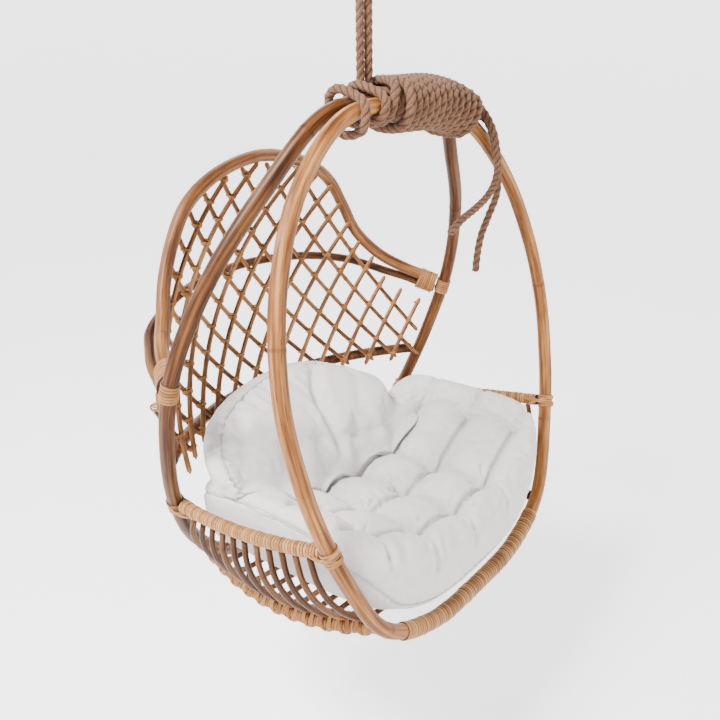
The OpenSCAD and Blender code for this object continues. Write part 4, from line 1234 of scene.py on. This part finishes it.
def pressLines(piece, lines):
    # folds pressed into the surface: depth * (exp(-(d / width)^2) - 0.3 exp(-((d - 2.2 width) / 1.3 width)^2))
    points, normals = vectors(piece.data.vertices, "co") * 1000, vectors(piece.data.vertex_normals, "vector")
    tree = BVHTree.FromPolygons([tuple(p / 1000) for p in points], [tuple(p.vertices) for p in piece.data.polygons])
    move = np.zeros(len(points))
    for line, depth, width in lines:
        line = laidOn(tree, line)
        low, high = line.min(0) - 5 * width, line.max(0) + 5 * width
        near = np.flatnonzero(((points > low) & (points < high)).all(1))
        away, along = nearLine(points[near], line)
        fade = np.sqrt(np.clip(1 - (2 * along - 1) ** 4, 0, 1))
        shape = np.exp(-(away / width) ** 2) - 0.3 * np.exp(-((away - 2.2 * width) / (1.3 * width)) ** 2)
        move[near] -= depth * fade * shape
    points += np.clip(move, -16, 4)[:, None] * normals
    placePoints(piece, points / 1000)


def gathers(seam, normals, seed, spacing, reach, depth):
    # short folds square to a seam, at uneven distances
    chance = np.random.default_rng(seed)
    s = distances(seam)
    lines, at = [], gather["start"]
    while at < s[-1] - gather["start"]:
        k = int(np.searchsorted(s, at))
        along = unit(seam[min(k + 1, len(seam) - 1)] - seam[k - 1])
        side = unit(np.cross(along, normals[k])) + chance.uniform(-gather["slant"], gather["slant"]) * along
        long = reach * chance.uniform(0.5, 1.25)
        lines.append(([seam[k] - gather["behind"] * long * side, seam[k], seam[k] + long * side],
                      depth * chance.uniform(0.5, 1.2), chance.uniform(*gather["wide"])))
        at += spacing * chance.uniform(0.5, 1.7)
    return lines


def tuftPleats(seed):
    # uneven little folds that run out from each tuft
    chance = np.random.default_rng(seed)
    lines = []
    for x, y in tufts:
        turn = chance.uniform(0, 1)
        for k in range(pleats["count"]):
            a = 2 * math.pi * (k + turn + chance.uniform(-0.25, 0.25)) / pleats["count"]
            a = a + pleats["curl"] * np.arange(3)
            r = pleats["start"] + chance.uniform(*pleats["long"]) * np.array([0, 0.5, 1])
            px, py = x + r * np.cos(a), y + r * np.sin(a)
            lines.append((np.stack([px, py, seatTop(px, py)], 1), chance.uniform(*pleats["deep"]),
                          chance.uniform(*pleats["wide"])))
    return lines


def makeCushion(name, node, body, point, shape, hold, lines):
    piece = gridPiece(name, padGrid(point, shape) / 1000)
    swell(piece, hold)
    pressLines(piece, lines)
    piece.data.name = name
    placePoints(piece, toWorld(vectors(piece.data.vertices, "co") * 1000))
    piece.data.polygons.foreach_set("use_smooth", np.ones(len(piece.data.polygons), bool))
    belongs(dress(piece, cotton), body, node)
    return piece


def treeOf(piece):
    return BVHTree.FromObject(piece, bpy.context.evaluated_depsgraph_get())


def seamPiece(name, piece, line, body):
    # the sewn edge stands in its groove as a thin roll of cloth
    tree = treeOf(piece)
    found = [tree.find_nearest(Vector(p))[:2] for p in toWorld(evenly(line, 5.0))]
    path = np.array([1000 * np.array(place) + 0.2 * sewn["seam"] * np.array(normal) for place, normal in found])
    path = evenly(smoothCurve(eased(path, 6)[::3], 6), 3.0)
    belongs(dress(swept(name, path, sewn["seam"], 8, world=True), seamThread), body)


def makeStitches(seatPiece):
    # a crossed stitch in each tuft
    tree = treeOf(seatPiece)
    stitches = []
    for x, y in tufts:
        top, low = (toWorld([x, y, seatTop(x, y) + rise]) for rise in (60, -60))
        hit = tree.ray_cast(Vector(top), Vector(low - top))[0]
        if hit is None:
            continue
        for a in sewn["turns"]:
            arm = sewn["stitch"] * np.array([math.cos(a), math.sin(a), 0])
            bow = [1000 * np.array(hit) + t * arm + [0, 0, sewn["bow"] - 3 * t * t] for t in (-1, -0.5, 0, 0.5, 1)]
            stitches.append(dress(swept("stitch", smoothCurve(bow, 3), sewn["thread"], 6, world=True), seamThread))
    belongs(joined("tuftStitches", stitches), "seat")


def makeCushions():
    half = smoothCurve(seatSeam, 6)
    seam = np.concatenate([half, half[-2::-1] * flip])
    out = unit(seam - np.array([0, 10, -770]))
    lines = [(seam, 2.6, 3.2)]
    for a, b, _ in seatCreases():
        w = np.linspace(a, b, 8)
        level = seatTop(*w.T) - 0.8 * cloth["creaseDepth"] * creaseDip(*w.T)
        lines.append((np.column_stack([w, level]), sewn["lidDepth"], sewn["lidWidth"]))
    lines += tuftPleats(61) + gathers(seam, out, 62, 26.0, 24.0, 1.8)
    seatPiece = makeCushion("seatCushion", "seat_cushion", "seat", seatPoint, seat, seatHold, lines)
    seamPiece("seatSeam", seatPiece, seam, "seat")
    a = np.linspace(-math.pi / 2, 1.5 * math.pi, 160)
    edge = backPoint(np.full_like(a, 0.995), a, True)
    ahead = np.tile([0.0, -1, 0.3], (len(edge), 1))
    lines = [(edge, 2.4, 3.2)] + backFolds + gathers(edge[66:126], ahead, 64, 22.0, 30.0, 2.6)
    backPiece = makeCushion("backCushion", "back_cushion", "back", backPoint, backPad, backHold, lines)
    seamPiece("backSeam", backPiece, edge, "back")
    makeStitches(seatPiece)


makeCushions()
print("cushions made")


# ---- floor, light and world
studio = dict(floor=-1.75, tone=0.85, glow=1.2, world=0.3, flat=4.0, sweep=2.0, wall=5.0, sectors=96,
              aim=(0, 0, -0.8), lights=(("key", (-1.9, 0.3, 1.7), 0.9, 330), ("fill", (2.4, -2.6, 0.2), 2.2, 15),
                                        ("rim", (1.6, 2.2, 1.6), 1.4, 70)))


def makeStudio():
    # a plain floor that curves up all round, so no horizon shows
    up = np.radians(np.arange(0, 91, 6.0))
    flat, sweep = studio["flat"], studio["sweep"]
    reach = np.concatenate([[0.0002, 1.5, 3.0], flat + sweep * np.sin(up), [flat + sweep]])[:, None]
    level = np.concatenate([[0, 0, 0], sweep * (1 - np.cos(up)), [studio["wall"]]])[:, None] + studio["floor"]
    a = np.arange(studio["sectors"]) * 2 * math.pi / studio["sectors"]
    rings = np.stack([reach * np.cos(a), reach * np.sin(a), level + 0 * a], -1)
    floor = gridPiece("floor", rings[:, ::-1], False, False)
    material, _, shader = newMaterial("paleFloor", Roughness=0.9)
    shader.inputs["Base Color"].default_value = (studio["tone"], studio["tone"], studio["tone"], 1)
    shader.inputs["Emission Color"].default_value = (*white, 1)
    shader.inputs["Emission Strength"].default_value = studio["glow"]
    dress(floor, material)
    scene = bpy.context.scene
    scene.world = scene.world or bpy.data.worlds.new("world")
    scene.world.use_nodes = True
    background = scene.world.node_tree.nodes["Background"]
    background.inputs[0].default_value = (*white, 1)
    background.inputs[1].default_value = studio["world"]
    for name, place, size, power in studio["lights"]:
        light = bpy.data.lights.new(name, "AREA")
        light.size, light.energy = size, power
        lamp = bpy.data.objects.new(name, light)
        scene.collection.objects.link(lamp)
        lamp.location = place
        lamp.rotation_euler = (Vector(studio["aim"]) - Vector(place)).to_track_quat("-Z", "Y").to_euler()


makeStudio()
print("studio made")
